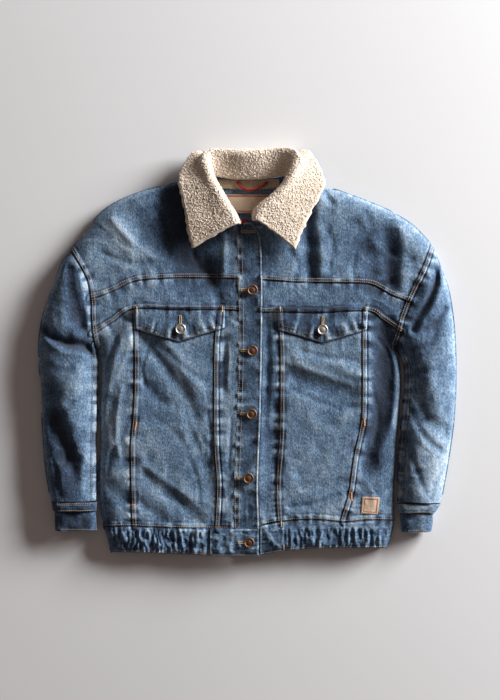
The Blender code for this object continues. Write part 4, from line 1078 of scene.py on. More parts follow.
def sleeves():
    for side, sign in (("L", -1), ("R", 1)):
        extra = sleeve_extra(side)
        for part, size, under in (("top", GRID, False), ("under", UNDER_GRID, True)):
            grid = sleeve_grid(side, size)
            width = np.linalg.norm(grid[:, -1] - grid[:, 0], axis=1)
            wall = UNDER_WALL if under else WALL
            thin = np.repeat(np.minimum(1.0, CAP_THINNING * width / wall), grid.shape[1])
            obj = shell(f"sleeve_{part}_{side}.cloth", grid, DENIM, f"sleeve_{part}_{side}", wall=wall,
                        thin=thin, under=under, warp=sign * SLEEVE_LEAN, extra=None if under else extra)
        for row in ARM_ROWS:
            stitch_run(f"tan.arm_{side}", smooth_line(SLEEVE_INNER[side])[4:], raised(extra), row, sign)


# ------------------------------------------------------------------ cuffs
CUFFS = [
    # name, side, upper y, lower y, left x and right x at the top, the same at the bottom, floor, height
    ("cuff", "L", -247.4, -263, -321, -246, -318, -247, 0.0, 27.0),
    ("cuff", "R", -250.4, -265, 246, 318, 249, 308, 0.0, 27.0),
    ("inner_cuff", "L", -263.4, -294, -316, -248, -315, -246, 1.5, 22.0),
    ("inner_cuff", "R", -265.4, -296.5, 251, 307, 254, 303, 1.5, 22.0),
]
CUFF_SIDES, CUFF_GRID = 144, 1.6
CUFF_BOX = 3.0          # power of the superellipse of its section
CUFF_INSET = 9          # of its stitches, from both edges
CUFF_ROWS = {"cuff": (0.1, 0.27, 0.86), "inner_cuff": (0.93,)}      # shares of its depth, from the top


def cuff_ring(spec, t, inset=0.0):
    """One ring of a flattened tube, with the soft dents of worn cuffs."""
    _, _, y_top, y_low, xa, xb, xc, xd, floor, height = spec
    seed = 60 + 7 * CUFFS.index(spec)
    angle = full_turn(CUFF_SIDES)
    c, s = np.cos(angle), np.sin(angle)
    left, right, y = xa + (xc - xa) * t, xb + (xd - xb) * t, y_top + (y_low - y_top) * t
    top = height + 1.2 * math.sin(math.pi * t)
    half, rise = (right - left) / 2 - inset, (top - floor) / 2 - inset
    x = (left + right) / 2 + half * np.sign(c) * np.abs(c) ** (2 / CUFF_BOX)
    z = (top + floor) / 2 + rise * np.sign(s) * np.abs(s) ** (2 / CUFF_BOX)
    upper = eased((s + 0.1) / 0.5)          # dents show on the upper face only
    lean = 1.4 * noise_line(x, 26, seed) + 0.7 * noise_line(x, 11, seed + 1)
    dent = 1.1 * noise(x, np.full_like(x, y), 17, seed) + 0.6 * noise(x, np.full_like(x, y), 8, seed + 2)
    edge = bell(t, 0.1, 0.12) + bell(t, 0.1, 0.88)
    beat = noise_line(x, 6.5, seed + 3)
    z = z + upper * (dent + 0.7 * edge * beat)
    wear = 0.18 * dent + 0.6 * edge * (eased(beat + 0.4) - 0.35) + 0.45 * bell(t, 0.05, 1)
    return np.stack([x, y + lean * t * upper, z], axis=1), wear


def cuffs():
    for spec in CUFFS:
        name, side, y_top, y_low, xa, xb, xc, xd, floor, height = spec
        steps = even(cells(y_top - y_low, CUFF_GRID))
        rings = [cuff_ring(spec, t) for t in steps] + [cuff_ring(spec, t, WALL) for t in steps[::-1]]
        verts = np.vstack([ring for ring, _ in rings])
        wear = np.concatenate([value for _, value in rings])
        index = np.arange(len(verts)).reshape(len(rings), CUFF_SIDES)
        ahead, beside = np.roll(index, -1, axis=0), np.roll(index, -1, axis=1)
        faces = np.stack([index, beside, np.roll(ahead, -1, axis=1), ahead], axis=-1).reshape(-1, 4)
        obj = mesh_piece(f"{name}_{side}.cloth", verts, faces, DENIM, f"{name}_{side}")
        turn_outwards(obj)
        paint(obj, wear=np.clip(wear + fade(f"{name}_{side}"), -1, 1))
        grain(obj, verts[:, [1, 0, 2]])
        for row in CUFF_ROWS[name]:
            y = y_top + (y_low - y_top) * row
            left, right = xa + (xc - xa) * row + CUFF_INSET, xb + (xd - xb) * row - CUFF_INSET
            ends = [(left, y), ((xa + xb) / 2, y), (right, y)]
            stitch_run(f"tan.{name}_{side}", np.array(ends, float), cuff_surface(spec))


def cuff_surface(spec):
    """Height of a cuff's upper face over plan points, read from its own rings."""
    y_top, y_low = spec[2:4]

    def surface(points):
        out = np.zeros(len(points))
        for k, (x, y) in enumerate(points):
            ring, _ = cuff_ring(spec, (y - y_top) / (y_low - y_top))
            half = ring[:CUFF_SIDES // 2]
            out[k] = np.interp(x, half[::-1, 0], half[::-1, 2])
        return out
    return surface


def turn_outwards(obj):
    """Make a closed mesh's faces point out of it."""
    form = bmesh.new()
    form.from_mesh(obj.data)
    bmesh.ops.recalc_face_normals(form, faces=form.faces)
    form.to_mesh(obj.data)
    form.free()


# ------------------------------------------------------------------ collar
SHERPA_WALL = 5.5
COLLAR = [
    # base on the neck seam, roll line, outer edge, way the fall lies off the stand, in degrees from +X to +Z
    ((-26, 203, 28.4), (-8, 208, 34.5), (-89, 168, 33.0), 90),
    ((-34, 220, 27.6), (-17, 225, 35.0), (-95, 186, 33.5), 93),
    ((-47, 241, 26.2), (-30, 245, 35.5), (-99, 210, 33.5), 98),
    ((-58, 262, 25.5), (-43, 267, 36.0), (-105, 242, 32.5), 110),
    ((-64, 277, 22.0), (-54, 286, 35.5), (-112, 270, 30.0), 128),
    ((-64, 286, 18.0), (-61, 303, 33.5), (-110, 292, 23.5), 150),
    ((-57, 287, 14.5), (-67, 318, 31.0), (-99, 314, 18.0), 176),
    ((-43, 285, 12.5), (-62, 330, 27.0), (-81, 329, 13.0), 206),
    ((-24, 282, 11.5), (-38, 332, 20.5), (-54, 316, 5.0), 243),
    ((0, 281, 11.5), (2, 332, 18.5), (2, 310, 4.0), 270),
    ((26, 282, 11.5), (42, 333, 20.5), (60, 316, 5.0), 297),
    ((45, 285, 12.5), (72, 332, 28.0), (94, 331, 13.0), 332),
    ((60, 287, 14.5), (80, 321, 32.0), (112, 315, 18.0), 363),
    ((67, 286, 18.0), (75, 305, 34.0), (122, 294, 25.0), 390),
    ((69, 277, 22.0), (66, 287, 35.5), (127, 272, 29.5), 412),
    ((65, 262, 25.5), (54, 270, 36.5), (119, 252, 32.5), 430),
    ((52, 241, 26.2), (32, 249, 36.5), (106, 228, 33.5), 442),
    ((36, 224, 27.6), (12, 230, 36.0), (93, 199, 34.0), 447),
    ((27, 209, 28.8), (8, 213, 35.5), (78, 165, 34.0), 450),
]
ROLL_RADIUS = 7.0
SWING_THINNING = 0.68          # of the wall, where the collar turns fastest
FALL_FROM = 0.62               # of the sheet's columns, where the roll is over
FALL_SAG = (1.0, 0.8)          # left and right, in the middle of the fall
ROLL_TURN = [(-0.8, -1.15), (0.5, -1.15), (1.35, 0.0), (0.5, 1.15), (-0.8, 1.15)]
COLLAR_STATIONS, COLLAR_COLS = 340, 90
LUMP, KNOT = 4.4, 2.2          # spacing of the pile's locks and of the knots on them
RAGGED = 4.0                   # how far in its edges are ragged


def spline_rows(control, count):
    """Uniform B-spline through rows of control points, all stations at once."""
    pts = np.concatenate([2 * control[:1] - control[1:2], control, 2 * control[-1:] - control[-2:-1]])
    spans = len(pts) - 3
    s = np.linspace(0, spans, count + 1)
    i = np.minimum(s.astype(int), spans - 1)
    t = (s - i)[:, None, None]
    p0, p1, p2, p3 = pts[i], pts[i + 1], pts[i + 2], pts[i + 3]
    return ((1 - t) ** 3 * p0 + (3 * t ** 3 - 6 * t ** 2 + 4) * p1
            + (-3 * t ** 3 + 3 * t ** 2 + 3 * t + 1) * p2 + t ** 3 * p3) / 6


def collar_sheet(stations, cols):
    """Middle sheet of the collar, stations by columns, and half its thickness."""
    columns = [np.array([row[k] for row in COLLAR], float) for k in range(3)]
    spread = np.linspace(0, 1, stations + 1)
    base, roll, edge = (along(column, spread) for column in columns)
    turn = np.interp(spread, np.linspace(0, 1, len(COLLAR)), [math.radians(row[3]) for row in COLLAR])
    off = np.stack([np.cos(turn), np.zeros(len(turn)), np.sin(turn)], axis=1)
    stand = roll - base
    ahead = stand - (stand * off).sum(axis=1)[:, None] * off
    ahead /= np.linalg.norm(ahead, axis=1)[:, None]
    centre = roll - (ROLL_RADIUS + SHERPA_WALL / 2) * ahead
    turned_over = [centre + ROLL_RADIUS * (a * ahead + o * off) for a, o in ROLL_TURN]
    control = np.array([base, (base + turned_over[0]) / 2, *turned_over, (turned_over[-1] + edge) / 2, edge])
    sheet = spline_rows(control, cols).transpose(1, 0, 2)
    # The fall sags between its roll and its edge, more on the left, but not behind the neck
    fall = np.clip((np.linspace(0, 1, cols + 1) - FALL_FROM) / (1 - FALL_FROM), 0, 1)
    lying = eased((np.minimum(spread, 1 - spread) * -1 + 0.34) / 0.1)
    depth = np.where(spread < 0.5, FALL_SAG[0], FALL_SAG[1]) * lying
    sheet[..., 2] -= depth[:, None] * np.sin(math.pi * fall)[None] ** 1.5
    swing = np.abs(np.gradient(turn))
    half = SHERPA_WALL / 2 * (1 - SWING_THINNING * eased(swing / swing.max()))
    return sheet, half


def cell_bumps(u, v, size, seed):
    """Round locks on a jittered lattice: 1 at each middle, 0 between; with a random tone."""
    table = np.random.RandomState(seed).uniform(0, 1, (3, 128, 128))
    a, b = u / size, v / size
    i, j = np.floor(a).astype(int), np.floor(b).astype(int)
    best, tone = np.full(u.shape, 9.0), np.zeros(u.shape)
    for di in (-1, 0, 1):
        for dj in (-1, 0, 1):
            ii, jj = (i + di) % 128, (j + dj) % 128
            gap = np.hypot(a - (i + di + 0.15 + 0.7 * table[0][ii, jj]),
                           b - (j + dj + 0.15 + 0.7 * table[1][ii, jj]))
            tone = np.where(gap < best, table[2][ii, jj], tone)
            best = np.minimum(best, gap)
    return np.clip(1 - best / 0.75, 0, 1) ** 0.55, tone


def collar():
    """Sherpa face with its locks, folded back over the stand; denim under it."""
    sheet, half = collar_sheet(COLLAR_STATIONS, COLLAR_COLS)
    across = unit(np.cross(np.gradient(sheet, axis=0), np.gradient(sheet, axis=1)))
    run, deep = lengths(sheet[:, COLLAR_COLS * 3 // 4]), lengths(sheet[COLLAR_STATIONS // 4])
    u, v = np.meshgrid(run, deep, indexing="ij")
    wander = 1.6 * noise(u, v, 9, 71), 1.6 * noise(u, v, 9, 72)
    locks, tone = cell_bumps(u + wander[0], v + wander[1], LUMP, 3)
    knots, knot_tone = cell_bumps(u + 0.5 * wander[1], v, KNOT, 4)
    tuft = 0.62 * locks + 0.38 * knots
    hollow = noise(u, v, 22, 73)
    half = half[:, None]
    pile = half * (0.72 + 0.33 * tuft) + 0.9 * hollow * np.clip(half / half.max(), 0, 1)
    ends = np.minimum(u, run[-1] - u)
    rim = np.minimum(np.minimum(v, deep[-1] - v), ends)
    pile = pile * eased((rim + 2.0) / 4.0)
    # The outer edge is a ragged row of locks, and so are the two ends
    ragged = 1.5 * noise(u, v, 4.2, 74) * bell(deep[-1] - v, RAGGED)
    sideways = np.where(u < run[-1] / 2, -1.2, 1.2) * noise(u, v, 4.2, 75) * bell(ends, RAGGED)
    down, aside = unit(np.gradient(sheet, axis=1)), unit(np.gradient(sheet, axis=0))
    sheet = sheet + ragged[..., None] * down + sideways[..., None] * aside
    outer, inner = sheet + pile[..., None] * across, sheet - 0.8 * half[..., None] * across
    rows, cols = u.shape
    verts = np.vstack([outer.reshape(-1, 3), inner.reshape(-1, 3)])
    obj = mesh_piece("collar.sherpa", verts, shell_faces(rows, cols), [SHERPA, DENIM], "collar", smooth=0)
    turn_outwards(obj)
    top_faces = (rows - 1) * (cols - 1)
    kind = np.zeros(len(obj.data.polygons), np.int32)
    kind[top_faces:2 * top_faces] = 1
    obj.data.polygons.foreach_set("material_index", kind)
    # Painted shade: the pile's colour is darker between the locks and paler on their tops, with some random
    # tone
    shade = 0.75 * tuft + 0.25 * (0.5 * tone + 0.5 * knot_tone)
    paint(obj, tip=np.concatenate([shade.ravel(), np.full(u.size, 0.3)]), wear=np.zeros(2 * u.size),
          tone=np.tile(tone.ravel(), 2))
    plain_grain(obj, u, v)
    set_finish(obj, "sherpa")
    curls(outer, across)


CURLS, CURL_RINGS, CURL_SIDES = 5600, 5, 4
CURL_SEED = 11
CURL_REACH, CURL_RISE, CURL_TWIST, CURL_THICK = (1.3, 2.9), (0.45, 1.0), (0.6, 1.5), (0.55, 0.95)
CURL_SWELL = (0.62, 1.04, 1.02, 0.76, 0.18)      # radius of each ring, in shares of the thickest


def curls(face, across):
    """Hooked tufts that stand out of the pile, in two pieces."""
    rng = np.random.RandomState(CURL_SEED)
    du, dv = np.gradient(face, axis=0), np.gradient(face, axis=1)
    area = np.linalg.norm(np.cross(du, dv), axis=-1)
    area[:4], area[-4:], area[:, :3], area[:, -2:] = 0, 0, 0, 0
    chance = area.ravel() / area.sum()
    spots = rng.choice(len(chance), CURLS, p=chance, replace=False)
    at, up, along_u = (grid.reshape(-1, 3)[spots] for grid in (face, across, du))
    along_u = unit(along_u - (along_u * up).sum(axis=1)[:, None] * up)
    beside = np.cross(up, along_u)
    heading = rng.uniform(0, 2 * math.pi, CURLS)[:, None]
    way = np.cos(heading) * along_u + np.sin(heading) * beside
    other = np.cross(up, way)
    reach = rng.uniform(*CURL_REACH, CURLS)[:, None]
    rise = rng.uniform(*CURL_RISE, CURLS)[:, None]
    twist = rng.choice([-1, 1], CURLS)[:, None] * rng.uniform(*CURL_TWIST, CURLS)[:, None]
    thick = rng.uniform(*CURL_THICK, CURLS)[:, None]
    centres, radii = [], []
    for t, swell in zip(np.linspace(0, 1, CURL_RINGS), CURL_SWELL):
        hook = math.sin(math.pi * 0.85 * t)
        centres.append(at + up * (rise * hook - 0.6) + way * reach * math.sin(1.75 * t)
                       + other * twist * (t ** 2) * 1.6)
        radii.append(thick * swell)
    centres, radii = np.array(centres), np.array(radii)
    ahead = unit(np.gradient(centres, axis=0))
    right = unit(np.cross(ahead, up[None]), 1e-6)
    lift = np.cross(right, ahead)
    spin = full_turn(CURL_SIDES) + math.pi / CURL_SIDES
    ring = np.stack([centres + radii * (math.cos(a) * right + math.sin(a) * lift) for a in spin], axis=2)
    verts = ring.transpose(1, 0, 2, 3)                    # curl, ring, side, xyz
    index = np.arange(CURL_RINGS * CURL_SIDES).reshape(CURL_RINGS, CURL_SIDES)
    beside = np.roll(index, -1, axis=1)
    local = np.stack([index[:-1], index[1:], beside[1:], beside[:-1]], axis=-1).reshape(-1, 4)
    local = np.vstack([local, index[0], index[-1, ::-1]])
    tone = rng.uniform(0, 1, CURLS)
    # Painted shade: each curl is coloured darker towards its root
    height = np.linspace(0.45, 1.0, CURL_RINGS)[None, :, None] * np.ones((CURLS, 1, CURL_SIDES))
    for k, part in enumerate(np.array_split(np.arange(CURLS), 2)):
        faces = (np.arange(len(part))[:, None, None] * index.size + local[None]).reshape(-1, 4)
        obj = mesh_piece(f"collar_curls_{k + 1}", verts[part].reshape(-1, 3), faces, SHERPA, smooth=0)
        turn_outwards(obj)
        paint(obj, tip=height[part], tone=np.repeat(tone[part], index.size))
        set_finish(obj, "sherpa")


# ------------------------------------------------------------------ flaps
FLAPS = {
    "L": {"top": [(-183, 72), (-110, 72), (-36, 72)], "low": [(-182, 36), (-113, 15), (-37, 38)]},
    "R": {"top": [(50, 72), (124, 73), (198, 72)], "low": [(51, 35), (123, 13), (196, 35)]},
}
FLAP_OFF = 1.0                          # clear of the pocket panel
FLAP_COLS, FLAP_ROWS = 110, 40
FLAP_STITCHES = (1.9, 6.8)              # rows, from the free edges


def straight(points, count):
    """Evenly spaced points along a polyline that isn't smoothed."""
    return on_line(np.asarray(points, float), even(count))


def flap_relief(side):
    """Worn, rolled edges with their ridge, and pleats that the stitching draws in."""
    low, top = (np.array(FLAPS[side][edge], float) for edge in ("low", "top"))
    border = [low] + [np.array([low[k], top[k]]) for k in (0, -1)]

    def relief(points):
        gaps, beats = [], []
        for k, line in enumerate(border):
            gap, _, place = nearest(points, line)
            gaps.append(gap)
            beats.append(noise_line(place, 7.0, 120 + k) + 0.4 * noise_line(place, 3.8, 123 + k))
        gap = np.min(gaps, axis=0)
        beat = np.choose(np.argmin(gaps, axis=0), beats)
        gap_top, _, place_top = nearest(points, top)
        top_beat = noise_line(place_top, 9.0, 130)
        # The turned edge makes a ridge between its rows of stitches
        ridge = 0.45 * bell(gap, 2.0, 4.2)
        roll = 0.9 * (1 - rounding(gap / 2.0))
        soft = crumple(points[:, 0], points[:, 1], 34, 132 + (side == "R"))
        lift = (ridge - roll + 0.5 * beat * bell(gap, 6.5) * eased(gap / 1.5) + 0.8 * soft
                + 0.4 * top_beat * bell(gap_top, 5))
        gap_low, _, place_low = nearest(points, low)
        pleat = noise_line(place_low, 8.0, 126) + 0.5 * noise_line(place_low, 4.2, 127)
        pleat = pleat * bell(gap_low, 12.0, 9) * eased(gap / 3.0)
        lift = lift + 1.6 * eased((gap - 1) / 14) + 1.5 * pleat
        # Pale rim, ridge and pleats; dark beside the rows and under the pocket seam
        wear = (2.1 * bell(gap, 2.3, 0.3) * (0.85 + 0.15 * beat)
                + 0.6 * eased(beat + 0.2) * bell(gap, 2.0, 4.3) + 1.2 * pleat
                - 0.5 * bell(gap, 0.7, 2.7) - 0.45 * bell(gap, 0.9, 7.6) + 0.2 * soft
                - 0.55 * bell(gap_top, 8.0) + 0.3 * eased(0.3 + top_beat) * bell(gap_top, 6, 9))
        return lift, wear
    return relief


def flap_surface(side):
    return raised(flap_relief(side), FLAP_OFF + WALL)


def flaps():
    for side, edges in FLAPS.items():
        top, low = np.array(edges["top"], float), np.array(edges["low"], float)
        grid = patch(straight(low, FLAP_COLS), straight(top, FLAP_COLS),
                     straight([low[0], top[0]], FLAP_ROWS), straight([low[-1], top[-1]], FLAP_ROWS))
        obj = shell(f"pocket_flap_{side}.cloth", grid, DENIM, f"pocket_flap_{side}", lift=FLAP_OFF + WALL,
                    extra=flap_relief(side), wall=LAPPED_WALL)
        for row in FLAP_STITCHES:
            tip = low[1] + (0, row * 1.06)
            left, right = low[0] + (row, row * 1.05), low[-1] + (-row, row * 1.05)
            up_left, up_right = top[0] + (row, -1), top[-1] + (-row, -1)
            for line in ((left, tip), (tip, right), (left, up_left), (right, up_right)):
                stitch_run(f"dull.flap_{side}", np.array(line), flap_surface(side))


# ------------------------------------------------------------------ buttons
BUTTON_SIDES = 56
BUTTON_PROFILE = [
    # radius, height: shank, back of the cap, rolled rim, dish with its own raised centre
    (0.0, -0.6), (3.2, -0.6), (3.2, 0.6), (6.8, 0.8), (8.1, 1.3), (8.5, 1.9), (8.5, 2.4), (8.1, 2.95),
    (7.5, 3.1), (6.9, 2.95), (6.5, 2.55), (6.2, 2.35), (5.0, 2.45), (3.4, 2.62), (3.0, 2.8), (2.5, 2.95),
    (1.2, 3.05), (0.0, 3.1),
]
BUTTONS = [
    # name, x, y, finish, surface
    ("button_1", 9, 100, "copper", "placket"), ("button_2", 9, 0.5, "copper", "placket"),
    ("button_3", 7.5, -103, "copper", "placket"), ("button_4", 2.5, -208, "copper", "placket"),
    ("button_hem", 3.5, -313, "copper", "hem"), ("flap_button_L", -108.5, 36, "silver", "flap_L"),
    ("flap_button_R", 123.5, 35, "silver", "flap_R"),
]
SURFACES = {
    "front": front_surface, "placket": PLACKET_SURFACE, "hem": hem_surface("L", "tab"),
    "hem_L": hem_surface("L", "gathered"), "hem_R": hem_surface("R", "tab"),
    "flap_L": flap_surface("L"), "flap_R": flap_surface("R"),
}


def buttons():
    for name, x, y, finish, where in BUTTONS:
        place = np.array([[x, y]], float)
        foot_ring = np.linspace(0, 2 * math.pi, 12)
        around = place + 7.0 * np.column_stack([np.cos(foot_ring), np.sin(foot_ring)])
        up = normals(place, cloth_top, 6.0)[0]
        foot = np.array([x, y, float(np.median(SURFACES[where](around)))]) + 0.35 * up
        side = unit(np.cross((0, 1, 0), up))
        ahead = np.cross(up, side)
        angle = full_turn(BUTTON_SIDES)[:, None]
        round_way = np.cos(angle) * side + np.sin(angle) * ahead
        back, *profile, front = BUTTON_PROFILE
        rings = [foot + up * h + r * round_way for r, h in profile]
        verts = np.vstack([foot + up * back[1], *rings, foot + up * front[1]])
        index = 1 + np.arange(len(rings) * BUTTON_SIDES).reshape(len(rings), BUTTON_SIDES)
        beside = np.roll(index, -1, axis=1)
        faces = np.stack([index[:-1], beside[:-1], beside[1:], index[1:]], axis=-1).reshape(-1, 4)
        caps = [(0, b, a) for a, b in zip(index[0], beside[0])]
        caps += [(len(verts) - 1, a, b) for a, b in zip(index[-1], beside[-1])]
        obj = mixed_piece(f"{name}.metal", verts, faces, caps, COPPER if finish == "copper" else SILVER, name)
        turn_outwards(obj)
        radius = np.linalg.norm(verts - foot, axis=1)
        paint(obj, worn=np.clip(1 - np.abs(radius - 8.2) / 1.2, 0, 1))
        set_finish(obj, finish)


def mixed_piece(name, verts, quads, tris, look, node):
    """Object of quads and triangles that replaces one node."""
    form = bpy.data.meshes.new(name)
    points = [tuple(p) for p in (verts + PLAN_SHIFT) * MM]
    form.from_pydata(points, [], [tuple(map(int, face)) for face in (*quads, *tris)])
    form.shade_smooth()
    form.materials.append(look)
    obj = linked(name, form)
    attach(obj, BODY)
    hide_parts(node)
    PIECES[name] = obj
    return obj


# ------------------------------------------------------------------ buttonholes and tacks
HOLES = [
    # thread, x0, y0, x1, y1, surface: the keyhole end is the first
    ("gold", 5, 100, -9.5, 100, "placket"), ("gold", 5, 0.5, -9.5, 0.5, "placket"),
    ("gold", 3.5, -103, -11, -103, "placket"), ("gold", -1.5, -208, -15, -208, "placket"),
    ("gold", 13.5, 195, -9, 195, "placket"), ("gold", -0.5, -313, -14, -313, "hem"),
    ("gold", -108.5, 40, -109, 57, "flap_L"), ("gold", 123.5, 39, 124, 56, "flap_R"),
]
TACKS = [
    # thread, middle x and y, angle of the bar in degrees, length, surface
    ("orange", -182, -123, 78, 13, "front"), ("orange", -186, -252, 4, 7, "front"),
    ("orange", 192, -116, 100, 13, "front"), ("orange", 171, -238, 96, 13, "front"),
    ("gold", -62, -331, 90, 9, "hem_L"), ("gold", 56, -283, 90, 9, "hem_R"),
    ("gold", 60, -322, 90, 9, "hem_R"),
    ("gold", -180, 68, 90, 8, "flap_L"), ("gold", -40, 68, 90, 8, "flap_L"),
    ("gold", 54, 68, 90, 8, "flap_R"), ("gold", 194, 68, 90, 8, "flap_R"),
]


HOLE_PITCH, TACK_PITCH = 0.72, 0.66


def stitch_across(group, centres, way, width, surface, lift):
    """Tight stitches that lie across a line, as in a bar tack or a worked buttonhole."""
    side = np.array([-way[1], way[0]])
    spots = [centres - side * width / 2, centres, centres + side * width / 2]
    STITCHES.setdefault(group, []).append((spots, lambda points: surface(points) + lift))


def holes_and_tacks():
    for thread_name, x0, y0, x1, y1, where in HOLES:
        a, b = np.array([x0, y0], float), np.array([x1, y1], float)
        size = np.linalg.norm(b - a)
        way = (b - a) / size
        side = np.array([-way[1], way[0]])
        group, surface = f"{thread_name}.holes", SURFACES[where]
        middle = a + way * np.linspace(0, 1, int(size / HOLE_PITCH))[:, None] * size
        for sign in (1, -1):
            stitch_across(group, middle + sign * side * 1.35, way, 2.0, surface, 0.3)
        bar = b[None] + way * 0.4 + side * np.linspace(-1.6, 1.6, 5)[:, None]
        stitch_across(group, bar, side, 1.8, surface, 0.3)
    for thread_name, x, y, angle, size, where in TACKS:
        way = np.array([math.cos(math.radians(angle)), math.sin(math.radians(angle))])
        middle = np.array([x, y]) + way * np.linspace(-0.5, 0.5, int(size / TACK_PITCH))[:, None] * size
        stitch_across(f"{thread_name}.tacks", middle, way, 2.4, SURFACES[where], 0.35)


# ------------------------------------------------------------------ inside of the neck
def strip(name, grid, surface_z, thick, look, replaces, slot):
    """Thin closed strip that lies on the back's inside."""
    rows, cols = grid.shape[:2]
    top = np.column_stack([grid.reshape(-1, 2), np.ravel(surface_z) + thick])
    low = np.column_stack([grid.reshape(-1, 2), np.full(rows * cols, float(np.min(surface_z)))])
    low[:, 2] = np.minimum(low[:, 2], top[:, 2] - 0.3)
    obj = mesh_piece(name, np.vstack([top, low]), shell_faces(rows, cols), look, replaces)
    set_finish(obj, slot)
    turn_outwards(obj)
    return obj


INSIDE = 2.0 + 3 * SEAM_GAP             # face of the back's inside, on which the neck pieces lie
NECK_WALL = 0.9
LABELS = [
    # name, x and y of its low left corner, of its high right corner, slot
    ("neck_label", -35, 227, 51, 258, "label"), ("size_tab", -11, 205, 1, 217, "red_trim"),
]
LABEL_FRAME = [(-33.6, 228.2), (49.6, 256.8)]       # corners of the label's own stitching


def level_surface(height):
    return lambda points: np.full(len(points), height)


def frame_stitches(group, corners, surface, pitch, length):
    """A closed row of stitches round four corners."""
    for a, b in corners:
        stitch_run(group, np.array([a, b], float), surface, pitch=pitch, length=length)


def neck_tape():
    cols, rows = even(140), even(12)
    upper = along([(-52, 283), (-30, 282), (0, 281), (30, 282), (53, 283)], cols)
    lower = along([(-53, 269), (-30, 267), (0, 266), (30, 267), (54, 269)], cols)
    grid = patch(lower, upper, along([lower[0], upper[0]], rows), along([lower[-1], upper[-1]], rows))
    x, y = grid[..., 0], grid[..., 1]
    beat = noise_line(x.ravel(), 8, 140).reshape(x.shape)
    v = np.linspace(0, 1, grid.shape[0])[:, None]
    form = INSIDE + 0.35 + 0.35 * beat + 0.25 * np.sin(math.pi * v) + 0.2 * noise(x, y, 10, 141)
    tape = strip("neck_tape.cloth", grid, form, NECK_WALL, TAPE, "neck_tape", "neck_tape")
    plain_grain(tape, x, y)
    for line, row in ((lower, 1.4), (upper, -1.4)):
        stitch_run("tan.neck_tape", line, level_surface(INSIDE + 1.75), row, 1)


def neck_labels():
    for name, x0, y0, x1, y1, slot in LABELS:
        cols, rows = cells(x1 - x0, 1.2), cells(y1 - y0, 1.2)
        x, y = np.meshgrid(np.linspace(x0, x1, cols + 1), np.linspace(y0, y1, rows + 1))
        form = INSIDE + 0.5 + 0.5 * noise(x, y, 26, 142) + 0.15 * noise(x, y, 8, 143)
        piece = strip(f"{name}.cloth", np.dstack([x, y]), form, NECK_WALL, LABEL if slot == "label" else RED,
                      name, slot)
        border = np.minimum(np.minimum(x - x0, x1 - x), np.minimum(y - y0, y1 - y))
        paint(piece, border=np.tile(border.ravel(), 2))
        plain_grain(piece, x, y)
    (left, low), (right, high) = LABEL_FRAME
    sides = [((left, low), (right, low)), ((left, high), (right, high)), ((left, low), (left, high)),
             ((right, low), (right, high))]
    frame_stitches("red.neck_label", sides, level_surface(INSIDE + 2.0), 2.8, 2.1)


LOOP_LINE = [(-17, 278.5, 6.5), (-11, 271, 7.0), (-3, 266, 7.0), (6, 264.5, 7.0), (16, 267, 7.0),
             (27, 273, 7.0), (34, 278.5, 6.5)]
LOOP_STRANDS, LOOP_TURNS = 3, 6.5
LOOP_RINGS, LOOP_SIDES = 150, 10
STRAND_SWING, STRAND_RISE, STRAND_RADIUS = 1.25, 0.62, 0.95


def hanger_loop():
    """Flat braid of three soft cords."""
    t = even(LOOP_RINGS)
    centre = along(LOOP_LINE, t)
    ahead = unit(np.gradient(centre, axis=0))
    beside = unit(np.cross(ahead, (0, 0, 1.0)))
    up = np.cross(beside, ahead)
    spin = full_turn(LOOP_SIDES)[:, None]
    verts, quads, tris = [], [], []
    for strand in range(LOOP_STRANDS):
        phase = 2 * math.pi * (LOOP_TURNS * t + strand / LOOP_STRANDS)[:, None]
        line = centre + beside * STRAND_SWING * np.sin(phase) + up * STRAND_RISE * np.sin(2 * phase)
        way = unit(np.gradient(line, axis=0))
        right = unit(np.cross(way, up))
        lift = np.cross(right, way)
        rings = line[:, None] + STRAND_RADIUS * (np.cos(spin) * right[:, None] + np.sin(spin) * lift[:, None])
        index = len(verts) + np.arange(len(t) * LOOP_SIDES).reshape(len(t), LOOP_SIDES)
        after = np.roll(index, -1, axis=1)
        hub = len(verts) + index.size
        verts += [*rings.reshape(-1, 3), line[0], line[-1]]
        quads += np.stack([index[:-1], after[:-1], after[1:], index[1:]], axis=-1).reshape(-1, 4).tolist()
        tris += [(b, a, hub) for a, b in zip(index[0], after[0])]
        tris += [(a, b, hub + 1) for a, b in zip(index[-1], after[-1])]
    obj = mixed_piece("hanger_loop.braid", np.array(verts), quads, tris, RED, "hanger_loop")
    turn_outwards(obj)
    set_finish(obj, "red_trim")


PATCH_CORNERS = [(187, -266), (214, -267.5), (217, -239.5), (189, -238.5)]
PATCH_FRAME = [(188.6, -264.4), (212.5, -265.8), (215.3, -241.1), (190.4, -240.2)]
PATCH_CELLS, PATCH_SIZE, PATCH_OFF = 22, 27, 0.9


def side_patch():
    a, b, c, d = PATCH_CORNERS
    grid = patch(*(straight(edge, PATCH_CELLS) for edge in ((a, b), (d, c), (a, d), (b, c))))
    obj = shell("side_patch.cloth", grid, LABEL, "side_patch", lift=PATCH_OFF, wall=1.0)
    v, u = np.meshgrid(even(PATCH_CELLS), even(PATCH_CELLS), indexing="ij")
    border = PATCH_SIZE * np.minimum(np.minimum(u, 1 - u), np.minimum(v, 1 - v))
    paint(obj, border=np.tile(border.ravel(), 2))
    sides = zip(PATCH_FRAME, PATCH_FRAME[1:] + PATCH_FRAME[:1])
    frame_stitches("tan.side_patch", sides, lambda points: front_surface(points) + PATCH_OFF, 2.9, 2.2)


